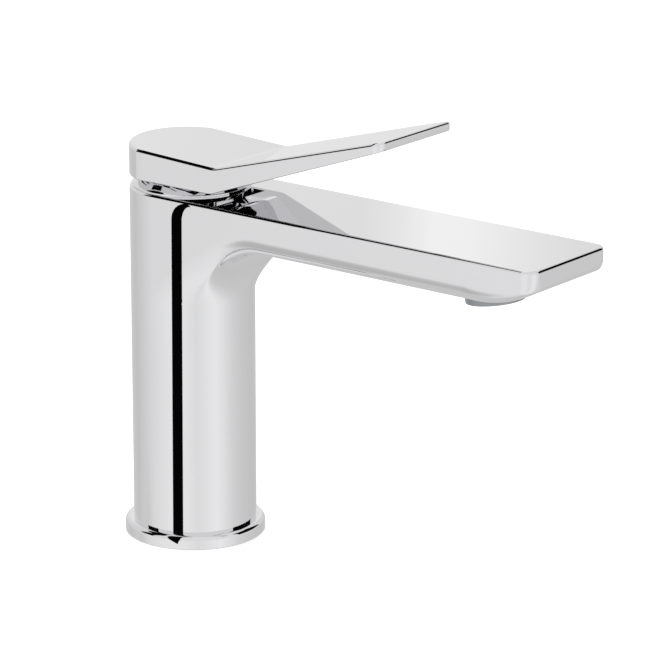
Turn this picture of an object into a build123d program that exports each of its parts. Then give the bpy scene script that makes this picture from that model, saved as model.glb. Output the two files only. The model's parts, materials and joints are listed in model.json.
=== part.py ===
from build123d import *
import os
from math import cos, radians, sin, tan

os.makedirs("parts", exist_ok=True)

# Single-lever basin mixer. Millimetres. Origin on the column axis at the deck plane,
# +X along the spout, +Z up, mirror plane y = 0. Lever shown in its closed position.

# ---- visible outer sizes ----
column_r = 23.0             # column radius, also half the spout width
body_top = 134.0            # height of the flat top of column and spout
spout_reach = 169.0         # column axis to front face of the spout
spout_depth = 16.0          # depth of the spout between neck and aerator
tip_depth = 7.4             # depth of the front face
spout_edge_r = 8.0          # rounding of the lower long edges
tip_edge_r = 3.0            # the same rounding at the front face
tip_corner_r = 5.0          # front corners seen from above
tip_steps = 7               # sections through the rising underside
tip_curve = 2.0             # the underside rises with this power of the distance
top_slab = 3.0              # upper layer that carries the top edge rounding
top_edge_r = 1.0            # top edge rounding
neck_r = 24.0               # inner bend between column and spout
neck_fade = 7.0             # how quickly the round column turns into the spout section
neck_ease = 1.6             # how gently that change starts
neck_steps = 11             # sections through the bend
neck_crowd = 1.2            # crowds the sections towards the column
nose_half = 0.1             # half width of the front flat where the column is round
slope_back = 30.0           # the underside begins to rise this far behind the front face

# ---- base ----
flange_step = 3.2           # how far the base ring stands out from the column
flange_r = column_r + flange_step
flange_t = 5.3
flange_edge_r = 1.9
spigot_wall = 1.8           # column radius minus spigot radius
spigot_lift = 0.0           # underside of the spigot above the deck
fit_gap = 0.1               # general assembly gap
seal_gap = 0.05             # rubber to bore gap
gasket_in = column_r - 0.5
gasket_out = column_r + 2.0
gasket_t = 1.4
foot_cord_r = 0.65          # cord radius of the foot O-ring
foot_cord_z = 3.0

# ---- hollow of the body ----
wall = 2.8
bore_wall = 4.9             # column radius minus cartridge bore radius
bore_r = column_r - bore_wall
nominal_bore_r = 18.1       # bore for the common 35 mm cartridge
cart = bore_r / nominal_bore_r
thread_step = 0.9           # nut thread bore is larger than the cartridge bore
nut_bore_r = bore_r + thread_step
seat_drop = 36.0            # cartridge seat below the top
seat_t = 6.0
well_r = column_r - 4.4     # open well for the stud and the hoses
lower_r = well_r - 0.7      # narrower top of the well, round the bosses
well_clear = 2.0            # the step lies this far below the lowest boss
inlet_x = 0.22 * bore_r
inlet_y = 0.44 * bore_r
inlet_thread_r = 4.5        # M10 x 1 internal thread
inlet_boss_r = 6.9
inlet_boss_h = 8.0
inlet_depth = 11.0
port_r = 3.1 * cart                # water ports in seat, cartridge base and fixed disc
stud_x = -0.52 * bore_r
stud_hole_r = 3.4           # M8 internal thread
stud_boss_r = 6.4
stud_boss_h = 14.0
stud_depth = 17.0
channel_h = 8.2
channel_half = 15.0
channel_slot_half = 8.0
channel_start = 17.0        # degrees round the bend where the waterway leaves the bore
channel_back = 53.0         # end of the wide waterway behind the front face
feed_h = 4.0                # flat feed above the aerator
feed_half = 7.0
roof_t = 3.5
feed_trim = 0.6             # keeps the tilted chamber under the roof
peg_r = 1.5 * cart
peg_x = 0.42 * bore_r
peg_y = 0.60 * bore_r
peg_h = 2.0

# ---- aerator ----
aerator_back = 32.0         # aerator centre behind the front face
aerator_tilt = 8.0          # degrees, the jet leans forward
aerator_r = 10.7
aerator_depth = 5.6
aerator_out = 4.2
aerator_wall = 1.5
aerator_lip = 1.0
chamber_r = 8.4
washer_t = 1.2
core_gap = 0.05
core_h = 6.2
core_holes = 6
core_hole_r = 1.25
core_ring_r = 5.0
screen_t = 0.35
screen_hole_r = 0.45
screen_rings = (2.2, 4.4, 6.6)
screen_counts = (6, 12, 18)
screen_pitch = 0.9

# ---- cartridge, heights above its seat ----
housing_r = bore_r - 0.6
base_t = 5.0
disc_seal_t = 1.0
fixed_t = 3.5
moving_t = 3.5
carrier_t = 3.2
carrier_skirt = 2.4
chamber_in_r = housing_r - 2.9
fixed_r = chamber_in_r - 0.3
moving_r = 0.62 * housing_r
carrier_wall = 1.15
rotor_r = 0.69 * housing_r
run_gap = 0.05
rotor_lift = 0.3
rotor_low_h = 9.0
rotor_neck_h = 3.2
rotor_neck_r = 0.60 * housing_r
bearing_t = 0.4
housing_h = 24.0            # above the base
housing_roof = 3.0
cord_r = 0.95               # housing O-ring cord radius
cord_z = 19.0
pivot_h = 23.0
pin_r = 1.5 * cart
pin_inset = 0.6
ball_r = 2.4 * cart
ball_gap = 0.1
ball_clear = 0.2            # ball above the moving disc
ball_low_h = base_t + disc_seal_t + fixed_t + moving_t + ball_clear
arm = pivot_h - ball_low_h - ball_r    # pivot to ball centre
stem_half_x = 4.4 * cart
stem_half_y = 4.6 * cart
stem_square = 4.0 * cart
stem_block_down = 4.2
stem_block_up = 5.0
stem_neck_r = 1.8 * cart
tongue_half = 4.6 * cart
tongue_h = 1.1
slot_back = 8.4 * cart
slot_front = 6.8 * cart
seal_ring_w = 1.6 * cart
seal_ring_t = 1.9
disc_shift = 1.4            # moving disc centre behind the axis when closed
mix_depth = 2.0
mix_back = 2.2 * cart
mix_length = 8.4 * cart
mix_width = 14.0 * cart
outlet_x = -7.5 * cart
outlet_half = 2.7 * cart
outlet_h = 2.6

# ---- nut and cover ----
nut_h = 6.0
nut_in_r = 0.72 * bore_r
nut_slots = 6
nut_slot_w = 4.0
nut_slot_d = 2.2
cover_out_r = column_r - 0.8
cover_side = 0.7
cover_h = 3.2
cover_top_r = column_r - 4.4
cover_in_r = nut_bore_r - 1.8
clip_t = 1.6
clip_w = 1.2

# ---- lever handle ----
cap_r = column_r
cap_half = column_r - 1.5
cap_gap = 4.0               # body top to handle underside
cap_h = 11.2
cap_dip = 2.4               # degrees, cap top falls towards the crease
crease_x = 28.0
crease_r = 14.0
knee_x = 26.0
knee_r = 8.0
lever_reach = 103.0
lever_rise = 15.7           # degrees
lever_end_t = 3.4
lever_corner_r = 3.6
handle_edge_r = 1.1
skirt_t = 2.4
cap_roof = 3.6
pocket_front = 19.0
hub_r = 9.0 * cart
hub_lift = 6.0              # hub underside above the body top
insert_r = 6.6 * cart
insert_lift = 5.8
socket_gap = 0.05
screw_r = 2.0               # M4 grub screw
screw_key = 2.0             # across flats of its hexagon socket
screw_key_d = 2.0
screw_drop = 3.0            # screw axis below the cap ceiling
plug_inset = 0.4
plug_r = 2.6
plug_t = 2.2
over = 3.0                  # how far cutting tools run past a face
tiny = 0.01
top_share = 0.5             # faces that look up at least this much belong to the handle top

# ---- derived levels and centres ----
spout_low = body_top - spout_depth
tip_low = body_top - tip_depth
slab_low = body_top - top_slab
bend_x = column_r + neck_r
bend_z = spout_low - neck_r
seat_z = body_top - seat_drop
well_top = seat_z - seat_t - stud_boss_h - well_clear
base_top = seat_z + base_t
seal_top = base_top + disc_seal_t
fixed_top = seal_top + fixed_t
moving_top = fixed_top + moving_t
carrier_top = moving_top + carrier_t
rotor_z = carrier_top + rotor_lift
rotor_mid = rotor_z + rotor_low_h
housing_top = base_top + housing_h
pivot_z = seat_z + pivot_h
ball_z = pivot_z - arm
nut_z = housing_top
nut_top = nut_z + nut_h
spigot_r = column_r - spigot_wall
slope_start = spout_reach - slope_back
aerator_x = spout_reach - aerator_back
channel_end = spout_reach - channel_back
lean = radians(aerator_tilt)
cap_low = body_top + cap_gap
cap_top = cap_low + cap_h
cap_ceiling = cap_top - cap_roof
screw_z = cap_ceiling - screw_drop
feed_top = body_top - roof_t
foot_groove_r = spigot_r - 2 * foot_cord_r + seal_gap
inlet_seal_r = port_r + seal_ring_w
cord_level = seat_z + cord_z
cord_groove_r = bore_r - 2 * (cord_r + seal_gap)
stem_top = cap_ceiling - 0.3
dip_angle = radians(cap_dip)
lever_angle = radians(lever_rise)
crease_z = cap_top - crease_x * tan(dip_angle)
lever_end_top = crease_z + (lever_reach - crease_x) * tan(lever_angle)

aer_plane = Plane(
    origin=(aerator_x, 0, spout_low),
    x_dir=(cos(lean), 0, sin(lean)),
    z_dir=(-sin(lean), 0, cos(lean)),
)


def rounded_section(half, low, high, edge):
    """Closed section, flat on top, both lower corners rounded by edge (y across, z up)."""
    flat = half - edge
    with BuildLine() as outline:
        Line((-half, high), (-half, low + edge))
        CenterArc((-flat, low + edge), edge, 180, 90)
        Line((-flat, low), (flat, low))
        CenterArc((flat, low + edge), edge, 270, 90)
        Line((half, low + edge), (half, high))
        Line((half, high), (-half, high))
    make_face(outline.edges())


def rim_edges(faces):
    """Edges that only one of the given faces owns."""
    edges = [edge for face in faces for edge in face.edges()]
    return [edge for edge in edges if sum(edge.is_same(other) for other in edges) == 1]


def nearest_vertex(sketch, x, y):
    """Corner of a sketch closest to a place in its own plane."""
    return sketch.vertices().sort_by(lambda v: abs(v.X - x) + abs(v.Z - y))[0]


def mirrored(x, y):
    """Two places either side of the mirror plane."""
    return Locations((x, y), (x, -y))


# ---------------------------------------------------------------- bend between column and spout
with BuildPart() as neck:
    for step in range(neck_steps):
        reach = (step / (neck_steps - 1)) ** neck_crowd
        turn = radians(90.0 * reach)
        share = (1 - reach**neck_ease) ** neck_fade
        edge = spout_edge_r + (column_r - nose_half - spout_edge_r) * share
        along = max(cos(turn), tiny)
        rise = max(sin(turn), tiny)
        back = min(bend_x / along, (slab_low - bend_z) / rise) + over
        with BuildSketch(Plane((bend_x, 0, bend_z), (0, 1, 0), (sin(turn), 0, cos(turn)))):
            rounded_section(column_r, neck_r, back, edge)
    loft()
    with BuildSketch(Plane.XZ):
        with Locations((bend_x / 2, (slab_low + bend_z) / 2)):
            Rectangle(bend_x, slab_low - bend_z)
    extrude(amount=2 * column_r, both=True, mode=Mode.INTERSECT)

# ---------------------------------------------------------------- tip of the spout
with BuildPart() as tip:
    for step in range(tip_steps):
        share = step / (tip_steps - 1)
        low = spout_low + (tip_low - spout_low) * share**tip_curve
        edge = spout_edge_r + (tip_edge_r - spout_edge_r) * share
        with BuildSketch(Plane.YZ.offset(slope_start + slope_back * share)):
            rounded_section(column_r, low, slab_low, edge)
    loft()
    with BuildSketch(Plane.XY.offset(spout_low - over)) as tip_plan:
        with Locations((spout_reach / 2, 0)):
            Rectangle(spout_reach, 2 * column_r)
        fillet(tip_plan.vertices().group_by(Axis.X)[-1], tip_corner_r)
    extrude(amount=spout_depth + 2 * over, mode=Mode.INTERSECT)

# ---------------------------------------------------------------- body
with BuildPart() as body:
    # top layer of column and spout with its rounded edge
    with BuildSketch(Plane.XY.offset(slab_low)) as top_plan:
        Circle(column_r)
        with Locations((spout_reach / 2, 0)):
            Rectangle(spout_reach, 2 * column_r)
        fillet(top_plan.vertices().group_by(Axis.X)[-1], tip_corner_r)
    extrude(amount=top_slab)
    fillet(body.faces().sort_by(Axis.Z)[-1].outer_wire().edges(), top_edge_r)
    # spigot and column
    with BuildSketch(Plane.XY.offset(spigot_lift)):
        Circle(spigot_r)
    extrude(amount=flange_t - spigot_lift)
    with BuildSketch(Plane((bend_x, 0, flange_t), (0, 1, 0), (0, 0, 1))):
        rounded_section(column_r, neck_r, bend_x, column_r - nose_half)
    extrude(amount=bend_z - flange_t)
    # rear half of the column, up to the top layer
    with BuildSketch(Plane.XY.offset(flange_t)):
        Circle(column_r)
        with Locations((column_r, 0)):
            Rectangle(2 * column_r, 2 * column_r + over, mode=Mode.SUBTRACT)
    extrude(amount=slab_low - flange_t)
    # straight part of the spout, bend and tip
    with BuildSketch(Plane.YZ.offset(bend_x)):
        rounded_section(column_r, spout_low, slab_low, spout_edge_r)
    extrude(amount=slope_start - bend_x)
    add(neck.part)
    add(tip.part)
    # open chamber under the seat with bosses for the inlets and the stud
    with BuildSketch(Plane.XY.offset(spigot_lift)):
        Circle(well_r)
    extrude(amount=well_top - spigot_lift, mode=Mode.SUBTRACT)
    with BuildSketch(Plane.XY.offset(well_top)):
        Circle(lower_r)
    extrude(amount=seat_z - seat_t - well_top, mode=Mode.SUBTRACT)
    with BuildSketch(Plane.XY.offset(seat_z - seat_t - inlet_boss_h)):
        with mirrored(inlet_x, inlet_y):
            Circle(inlet_boss_r)
    extrude(amount=inlet_boss_h)
    with BuildSketch(Plane.XY.offset(seat_z - seat_t - stud_boss_h)):
        with Locations((stud_x, 0)):
            Circle(stud_boss_r)
    extrude(amount=stud_boss_h)
    with BuildSketch(Plane.XY.offset(seat_z - seat_t - inlet_boss_h)):
        with mirrored(inlet_x, inlet_y):
            Circle(inlet_thread_r)
    extrude(amount=inlet_depth, mode=Mode.SUBTRACT)
    with BuildSketch(Plane.XY.offset(seat_z - seat_t - stud_boss_h)):
        with Locations((stud_x, 0)):
            Circle(stud_hole_r)
    extrude(amount=stud_depth, mode=Mode.SUBTRACT)
    # cartridge bore, nut thread bore, ports and peg holes
    with BuildSketch(Plane.XY.offset(seat_z)):
        Circle(bore_r)
    extrude(amount=seat_drop, mode=Mode.SUBTRACT)
    with BuildSketch(Plane.XY.offset(nut_z)):
        Circle(nut_bore_r)
    extrude(amount=body_top - nut_z, mode=Mode.SUBTRACT)
    with BuildSketch(Plane.XY.offset(seat_z - seat_t)):
        with mirrored(inlet_x, inlet_y):
            Circle(port_r)
    extrude(amount=seat_t, mode=Mode.SUBTRACT)
    with BuildSketch(Plane.XY.offset(seat_z - peg_h - fit_gap)):
        with mirrored(peg_x, peg_y):
            Circle(peg_r + fit_gap)
    extrude(amount=peg_h + fit_gap, mode=Mode.SUBTRACT)
    # waterway round the bend and along the spout
    with BuildSketch(Plane.XZ):
        with BuildLine():
            sweep_angle = 90 - channel_start
            inner = CenterArc((bend_x, bend_z), neck_r + wall, 90, sweep_angle)
            outer = CenterArc((bend_x, bend_z), neck_r + wall + channel_h, 90, sweep_angle)
            Line(inner @ 0, outer @ 0)
            Line(inner @ 1, outer @ 1)
        make_face()
    extrude(amount=channel_slot_half, both=True, mode=Mode.SUBTRACT)
    with BuildSketch(Plane.YZ.offset(bend_x - fit_gap)):
        channel_edge = spout_edge_r - wall
        rounded_section(channel_half, spout_low + wall, spout_low + wall + channel_h, channel_edge)
    extrude(amount=channel_end - bend_x + fit_gap, mode=Mode.SUBTRACT)
    with BuildSketch(Plane.XZ):
        with Locations(((channel_end - over + aerator_x) / 2, feed_top - feed_h / 2)):
            Rectangle(aerator_x - channel_end + over, feed_h)
    extrude(amount=feed_half, both=True, mode=Mode.SUBTRACT)
    # aerator socket, square to the rising underside
    with BuildSketch(aer_plane.offset(-over)):
        Circle(aerator_r + seal_gap)
    extrude(amount=aerator_depth + over, mode=Mode.SUBTRACT)
    with BuildSketch(aer_plane.offset(aerator_depth)):
        Circle(chamber_r)
    extrude(amount=(feed_top - spout_low) / cos(lean) - aerator_depth - feed_trim, mode=Mode.SUBTRACT)
    # groove of the foot O-ring
    with BuildSketch(Plane.XY.offset(foot_cord_z - foot_cord_r - seal_gap)):
        Circle(spigot_r + over)
        Circle(foot_groove_r, mode=Mode.SUBTRACT)
    extrude(amount=2 * (foot_cord_r + seal_gap), mode=Mode.SUBTRACT)
body.part.label = "body"
export_step(body.part, "parts/body.step")

# ---------------------------------------------------------------- base ring
with BuildPart() as base_ring:
    with BuildSketch(Plane.XY):
        Circle(flange_r)
    extrude(amount=flange_t)
    fillet(base_ring.edges().group_by(Axis.Z)[-1], flange_edge_r)
    with BuildSketch(Plane.XY):
        Circle(spigot_r + fit_gap)
    extrude(amount=flange_t, mode=Mode.SUBTRACT)
    with BuildSketch(Plane.XY):
        Circle(gasket_out + seal_gap)
        Circle(gasket_in - seal_gap, mode=Mode.SUBTRACT)
    extrude(amount=gasket_t, mode=Mode.SUBTRACT)
base_ring.part.label = "base_ring"
export_step(base_ring.part, "parts/base_ring.step")

# ---------------------------------------------------------------- deck gasket
with BuildPart() as base_gasket:
    with BuildSketch(Plane.XY):
        Circle(gasket_out)
        Circle(gasket_in, mode=Mode.SUBTRACT)
    extrude(amount=gasket_t)
base_gasket.part.label = "base_gasket"
export_step(base_gasket.part, "parts/base_gasket.step")

# ---------------------------------------------------------------- foot O-ring
with BuildPart() as foot_o_ring:
    with BuildSketch(Plane.XZ):
        with Locations((foot_groove_r + seal_gap + foot_cord_r, foot_cord_z)):
            Circle(foot_cord_r)
    revolve(axis=Axis.Z)
foot_o_ring.part.label = "foot_o_ring"
export_step(foot_o_ring.part, "parts/foot_o_ring.step")

# ---------------------------------------------------------------- cartridge base
with BuildPart() as cartridge_base:
    with BuildSketch(Plane.XY.offset(seat_z)):
        Circle(housing_r)
    extrude(amount=base_t)
    with BuildSketch(Plane.XY.offset(seat_z - peg_h)):
        with mirrored(peg_x, peg_y):
            Circle(peg_r)
    extrude(amount=peg_h)
    with BuildSketch(Plane.XY.offset(seat_z)):
        with mirrored(inlet_x, inlet_y):
            Circle(port_r)
    extrude(amount=base_t, mode=Mode.SUBTRACT)
    with BuildSketch(Plane.XY.offset(seat_z)):
        with mirrored(inlet_x, inlet_y):
            Circle(inlet_seal_r + seal_gap)
    extrude(amount=seal_ring_t, mode=Mode.SUBTRACT)
    # outlet pocket, open at the front
    with BuildSketch(Plane.XY.offset(base_top - outlet_h)):
        with Locations((outlet_x, 0)):
            Circle(outlet_half)
        with Locations(((outlet_x + housing_r + over) / 2, 0)):
            Rectangle(housing_r + over - outlet_x, 2 * outlet_half)
    extrude(amount=outlet_h, mode=Mode.SUBTRACT)
cartridge_base.part.label = "cartridge_base"
export_step(cartridge_base.part, "parts/cartridge_base.step")

# ---------------------------------------------------------------- inlet seals
with BuildPart() as inlet_seals:
    with BuildSketch(Plane.XY.offset(seat_z)):
        with mirrored(inlet_x, inlet_y):
            Circle(inlet_seal_r)
        with mirrored(inlet_x, inlet_y):
            Circle(port_r, mode=Mode.SUBTRACT)
    extrude(amount=seal_ring_t)
inlet_seals.part.label = "inlet_seals"
export_step(inlet_seals.part, "parts/inlet_seals.step")

# ---------------------------------------------------------------- disc seal
with BuildPart() as disc_seal:
    with BuildSketch(Plane.XY.offset(base_top)):
        Circle(fixed_r)
        with mirrored(inlet_x, inlet_y):
            Circle(port_r, mode=Mode.SUBTRACT)
        with Locations((outlet_x, 0)):
            Circle(outlet_half, mode=Mode.SUBTRACT)
    extrude(amount=disc_seal_t)
disc_seal.part.label = "disc_seal"
export_step(disc_seal.part, "parts/disc_seal.step")

# ---------------------------------------------------------------- fixed ceramic disc
with BuildPart() as fixed_disc:
    with BuildSketch(Plane.XY.offset(seal_top)):
        Circle(fixed_r)
        with mirrored(inlet_x, inlet_y):
            Circle(port_r, mode=Mode.SUBTRACT)
        with Locations((outlet_x, 0)):
            Circle(outlet_half, mode=Mode.SUBTRACT)
    extrude(amount=fixed_t)
fixed_disc.part.label = "fixed_disc"
export_step(fixed_disc.part, "parts/fixed_disc.step")

# ---------------------------------------------------------------- moving ceramic disc
with BuildPart() as moving_disc:
    with BuildSketch(Plane.XY.offset(fixed_top)):
        with Locations((-disc_shift, 0)):
            Circle(moving_r)
    extrude(amount=moving_t)
    with BuildSketch(Plane.XY.offset(fixed_top)):
        with Locations((-disc_shift - mix_back, 0)):
            Rectangle(mix_length, mix_width)
    extrude(amount=mix_depth, mode=Mode.SUBTRACT)
moving_disc.part.label = "moving_disc"
export_step(moving_disc.part, "parts/moving_disc.step")

# ---------------------------------------------------------------- disc carrier
with BuildPart() as disc_carrier:
    with BuildSketch(Plane.XY.offset(moving_top - carrier_skirt)):
        with Locations((-disc_shift, 0)):
            Circle(moving_r + carrier_wall)
    extrude(amount=carrier_skirt + carrier_t)
    with BuildSketch(Plane.XY.offset(moving_top - carrier_skirt)):
        with Locations((-disc_shift, 0)):
            Circle(moving_r + seal_gap)
    extrude(amount=carrier_skirt, mode=Mode.SUBTRACT)
    with BuildSketch(Plane.XY.offset(carrier_top)):
        with Locations((-disc_shift, 0)):
            Rectangle(2 * tongue_half, 2 * tongue_half)
    extrude(amount=tongue_h)
    with BuildSketch(Plane.XY.offset(moving_top)):
        Circle(ball_r + ball_gap)
    extrude(amount=carrier_t + tongue_h, mode=Mode.SUBTRACT)
disc_carrier.part.label = "disc_carrier"
export_step(disc_carrier.part, "parts/disc_carrier.step")

# ---------------------------------------------------------------- rotor
with BuildPart() as rotor:
    with BuildSketch(Plane.XY.offset(rotor_z)):
        Circle(rotor_r)
    extrude(amount=rotor_low_h)
    with BuildSketch(Plane.XY.offset(rotor_mid)):
        Circle(rotor_neck_r)
    extrude(amount=rotor_neck_h)
    with BuildSketch(Plane.XY.offset(rotor_z)):
        with Locations(((slot_front - slot_back) / 2, 0)):
            Rectangle(slot_front + slot_back, 2 * (stem_half_y + run_gap))
    extrude(amount=rotor_low_h + rotor_neck_h, mode=Mode.SUBTRACT)
    with BuildSketch(Plane.XY.offset(rotor_z)):
        Rectangle(2 * rotor_r, 2 * (tongue_half + run_gap))
    extrude(amount=tongue_h, mode=Mode.SUBTRACT)
    with BuildSketch(Plane.XZ):
        with Locations((0, pivot_z)):
            Circle(pin_r)
    extrude(amount=rotor_r, both=True, mode=Mode.SUBTRACT)
rotor.part.label = "rotor"
export_step(rotor.part, "parts/rotor.step")

# ---------------------------------------------------------------- rotor bearing washer
with BuildPart() as bearing_washer:
    with BuildSketch(Plane.XY.offset(rotor_mid + run_gap)):
        Circle(rotor_r - run_gap)
        Circle(rotor_neck_r + 2 * run_gap, mode=Mode.SUBTRACT)
    extrude(amount=bearing_t)
bearing_washer.part.label = "bearing_washer"
export_step(bearing_washer.part, "parts/bearing_washer.step")

# ---------------------------------------------------------------- pivot pin
with BuildPart() as pivot_pin:
    with BuildSketch(Plane.XZ):
        with Locations((0, pivot_z)):
            Circle(pin_r)
    extrude(amount=rotor_r - pin_inset, both=True)
pivot_pin.part.label = "pivot_pin"
export_step(pivot_pin.part, "parts/pivot_pin.step")

# ---------------------------------------------------------------- cartridge housing
with BuildPart() as cartridge_housing:
    with BuildSketch(Plane.XY.offset(base_top)):
        Circle(housing_r)
    extrude(amount=housing_h)
    with BuildSketch(Plane.XY.offset(base_top)):
        Circle(chamber_in_r)
    extrude(amount=rotor_z - base_top, mode=Mode.SUBTRACT)
    with BuildSketch(Plane.XY.offset(rotor_z)):
        Circle(rotor_r + run_gap)
    extrude(amount=housing_h - housing_roof - rotor_z + base_top, mode=Mode.SUBTRACT)
    with BuildSketch(Plane.XY.offset(housing_top - housing_roof)):
        Circle(rotor_neck_r + run_gap)
    extrude(amount=housing_roof, mode=Mode.SUBTRACT)
    with BuildSketch(Plane.XY.offset(cord_level - cord_r - seal_gap)):
        Circle(housing_r + over)
        Circle(cord_groove_r, mode=Mode.SUBTRACT)
    extrude(amount=2 * (cord_r + seal_gap), mode=Mode.SUBTRACT)
cartridge_housing.part.label = "cartridge_housing"
export_step(cartridge_housing.part, "parts/cartridge_housing.step")

# ---------------------------------------------------------------- housing O-ring
with BuildPart() as housing_o_ring:
    with BuildSketch(Plane.XZ):
        with Locations((cord_groove_r + seal_gap + cord_r, cord_level)):
            Circle(cord_r)
    revolve(axis=Axis.Z)
housing_o_ring.part.label = "housing_o_ring"
export_step(housing_o_ring.part, "parts/housing_o_ring.step")

# ---------------------------------------------------------------- stem
with BuildPart() as stem:
    with BuildSketch(Plane.XY.offset(pivot_z - stem_block_down)):
        Rectangle(2 * stem_half_x, 2 * stem_half_y)
    extrude(amount=stem_block_down + stem_block_up)
    with BuildSketch(Plane.XY.offset(pivot_z + stem_block_up)):
        Rectangle(2 * stem_square, 2 * stem_square)
    extrude(amount=stem_top - pivot_z - stem_block_up)
    with BuildSketch(Plane.XY.offset(ball_z)):
        Circle(stem_neck_r)
    extrude(amount=arm - stem_block_down)
    with BuildSketch(Plane.XZ):
        with Locations((0, pivot_z)):
            Circle(pin_r + run_gap)
    extrude(amount=stem_half_y, both=True, mode=Mode.SUBTRACT)
    with Locations((0, 0, ball_z)):
        Sphere(ball_r)
stem.part.label = "stem"
export_step(stem.part, "parts/stem.step")

# ---------------------------------------------------------------- retaining nut
with BuildPart() as retaining_nut:
    with BuildSketch(Plane.XY.offset(nut_z)):
        Circle(nut_bore_r - seal_gap)
        Circle(nut_in_r, mode=Mode.SUBTRACT)
    extrude(amount=nut_h)
    with BuildSketch(Plane.XY.offset(nut_top - nut_slot_d)):
        with PolarLocations(nut_in_r, nut_slots):
            Rectangle(2 * nut_slot_w, nut_slot_w)
    extrude(amount=nut_slot_d, mode=Mode.SUBTRACT)
retaining_nut.part.label = "retaining_nut"
export_step(retaining_nut.part, "parts/retaining_nut.step")

# ---------------------------------------------------------------- cover clip
with BuildPart() as cover_clip:
    with BuildSketch(Plane.XY.offset(nut_top)):
        Circle(cover_in_r - seal_gap)
        Circle(cover_in_r - clip_w, mode=Mode.SUBTRACT)
    extrude(amount=clip_t)
cover_clip.part.label = "cover_clip"
export_step(cover_clip.part, "parts/cover_clip.step")

# ---------------------------------------------------------------- cover ring
with BuildPart() as cover_ring:
    with BuildSketch(Plane.XZ):
        with BuildLine():
            Polyline(
                (cover_in_r, nut_top),
                (nut_bore_r - fit_gap, nut_top),
                (nut_bore_r - fit_gap, body_top),
                (cover_out_r, body_top),
                (cover_out_r, body_top + cover_side),
                (cover_top_r, body_top + cover_h),
                (cover_in_r, body_top + cover_h),
                close=True,
            )
        make_face()
    revolve(axis=Axis.Z)
cover_ring.part.label = "cover_ring"
export_step(cover_ring.part, "parts/cover_ring.step")

# ---------------------------------------------------------------- lever handle
with BuildPart() as handle:
    with BuildSketch(Plane.XZ) as handle_side:
        with BuildLine():
            Polyline(
                (-cap_r - over, cap_low),
                (knee_x, cap_low),
                (lever_reach + over, lever_end_top + over * tan(lever_angle) - lever_end_t),
                (lever_reach + over, lever_end_top + over * tan(lever_angle)),
                (crease_x, crease_z),
                (-cap_r - over, cap_top + (cap_r + over) * tan(dip_angle)),
                close=True,
            )
        make_face()
        fillet(nearest_vertex(handle_side, crease_x, crease_z), crease_r)
        fillet(nearest_vertex(handle_side, knee_x, cap_low), knee_r)
    extrude(amount=cap_half, both=True)
    with BuildSketch(Plane.XY.offset(body_top)) as handle_plan:
        Circle(cap_r)
        with Locations((lever_reach / 2, 0)):
            Rectangle(lever_reach, 2 * cap_r)
        with Locations(((lever_reach - cap_r) / 2, 0)):
            Rectangle(lever_reach + cap_r, 2 * cap_half, mode=Mode.INTERSECT)
        fillet(handle_plan.vertices().group_by(Axis.X)[-1], lever_corner_r)
    extrude(amount=lever_end_top, mode=Mode.INTERSECT)
    top_faces = handle.faces().filter_by(lambda face: face.normal_at().Z > top_share)
    fillet(rim_edges(top_faces), handle_edge_r)
    # hollow of the cap
    with BuildSketch(Plane.XY.offset(cap_low - over)):
        Circle(cap_r - skirt_t)
        with Locations((pocket_front / 2, 0)):
            Rectangle(pocket_front, 2 * cap_r)
        with Locations(((pocket_front - cap_r) / 2, 0)):
            Rectangle(pocket_front + cap_r, 2 * (cap_half - skirt_t), mode=Mode.INTERSECT)
    extrude(amount=cap_ceiling - cap_low + over, mode=Mode.SUBTRACT)
    # hub with its socket, and the screw hole from the rear
    with BuildSketch(Plane.XY.offset(body_top + hub_lift)):
        Circle(hub_r)
    extrude(amount=cap_ceiling - body_top - hub_lift)
    with BuildSketch(Plane.XY.offset(body_top + hub_lift)):
        Circle(insert_r + socket_gap)
    extrude(amount=cap_ceiling - body_top - hub_lift, mode=Mode.SUBTRACT)
    with BuildSketch(Plane.YZ.offset(-stem_square)):
        with Locations((0, screw_z)):
            Circle(screw_r)
    extrude(amount=-hub_r, mode=Mode.SUBTRACT)
    with BuildSketch(Plane.YZ.offset(-hub_r - over)):
        with Locations((0, screw_z)):
            Circle(plug_r)
    extrude(amount=-cap_r, mode=Mode.SUBTRACT)
handle.part.label = "handle"
export_step(handle.part, "parts/handle.step")

# ---------------------------------------------------------------- handle insert
with BuildPart() as handle_insert:
    with BuildSketch(Plane.XY.offset(body_top + insert_lift)):
        Circle(insert_r)
        square = 2 * (stem_square + socket_gap)
        Rectangle(square, square, mode=Mode.SUBTRACT)
    extrude(amount=cap_ceiling - body_top - insert_lift - fit_gap)
    with BuildSketch(Plane.YZ):
        with Locations((0, screw_z)):
            Circle(screw_r)
    extrude(amount=-hub_r, mode=Mode.SUBTRACT)
handle_insert.part.label = "handle_insert"
export_step(handle_insert.part, "parts/handle_insert.step")

# ---------------------------------------------------------------- grub screw
with BuildPart() as grub_screw:
    with BuildSketch(Plane.YZ.offset(-stem_square - seal_gap)):
        with Locations((0, screw_z)):
            Circle(screw_r)
    extrude(amount=-(hub_r - stem_square - 2 * seal_gap))
    with BuildSketch(Plane.YZ.offset(-hub_r + seal_gap)):
        with Locations((0, screw_z)):
            RegularPolygon(screw_key / 2, 6, major_radius=False)
    extrude(amount=screw_key_d, mode=Mode.SUBTRACT)
grub_screw.part.label = "grub_screw"
export_step(grub_screw.part, "parts/grub_screw.step")

# ---------------------------------------------------------------- index plug
with BuildPart() as index_plug:
    with BuildSketch(Plane.YZ.offset(-cap_r + plug_inset)):
        with Locations((0, screw_z)):
            Circle(plug_r - seal_gap)
    extrude(amount=skirt_t - plug_inset - seal_gap)
index_plug.part.label = "index_plug"
export_step(index_plug.part, "parts/index_plug.step")

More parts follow.
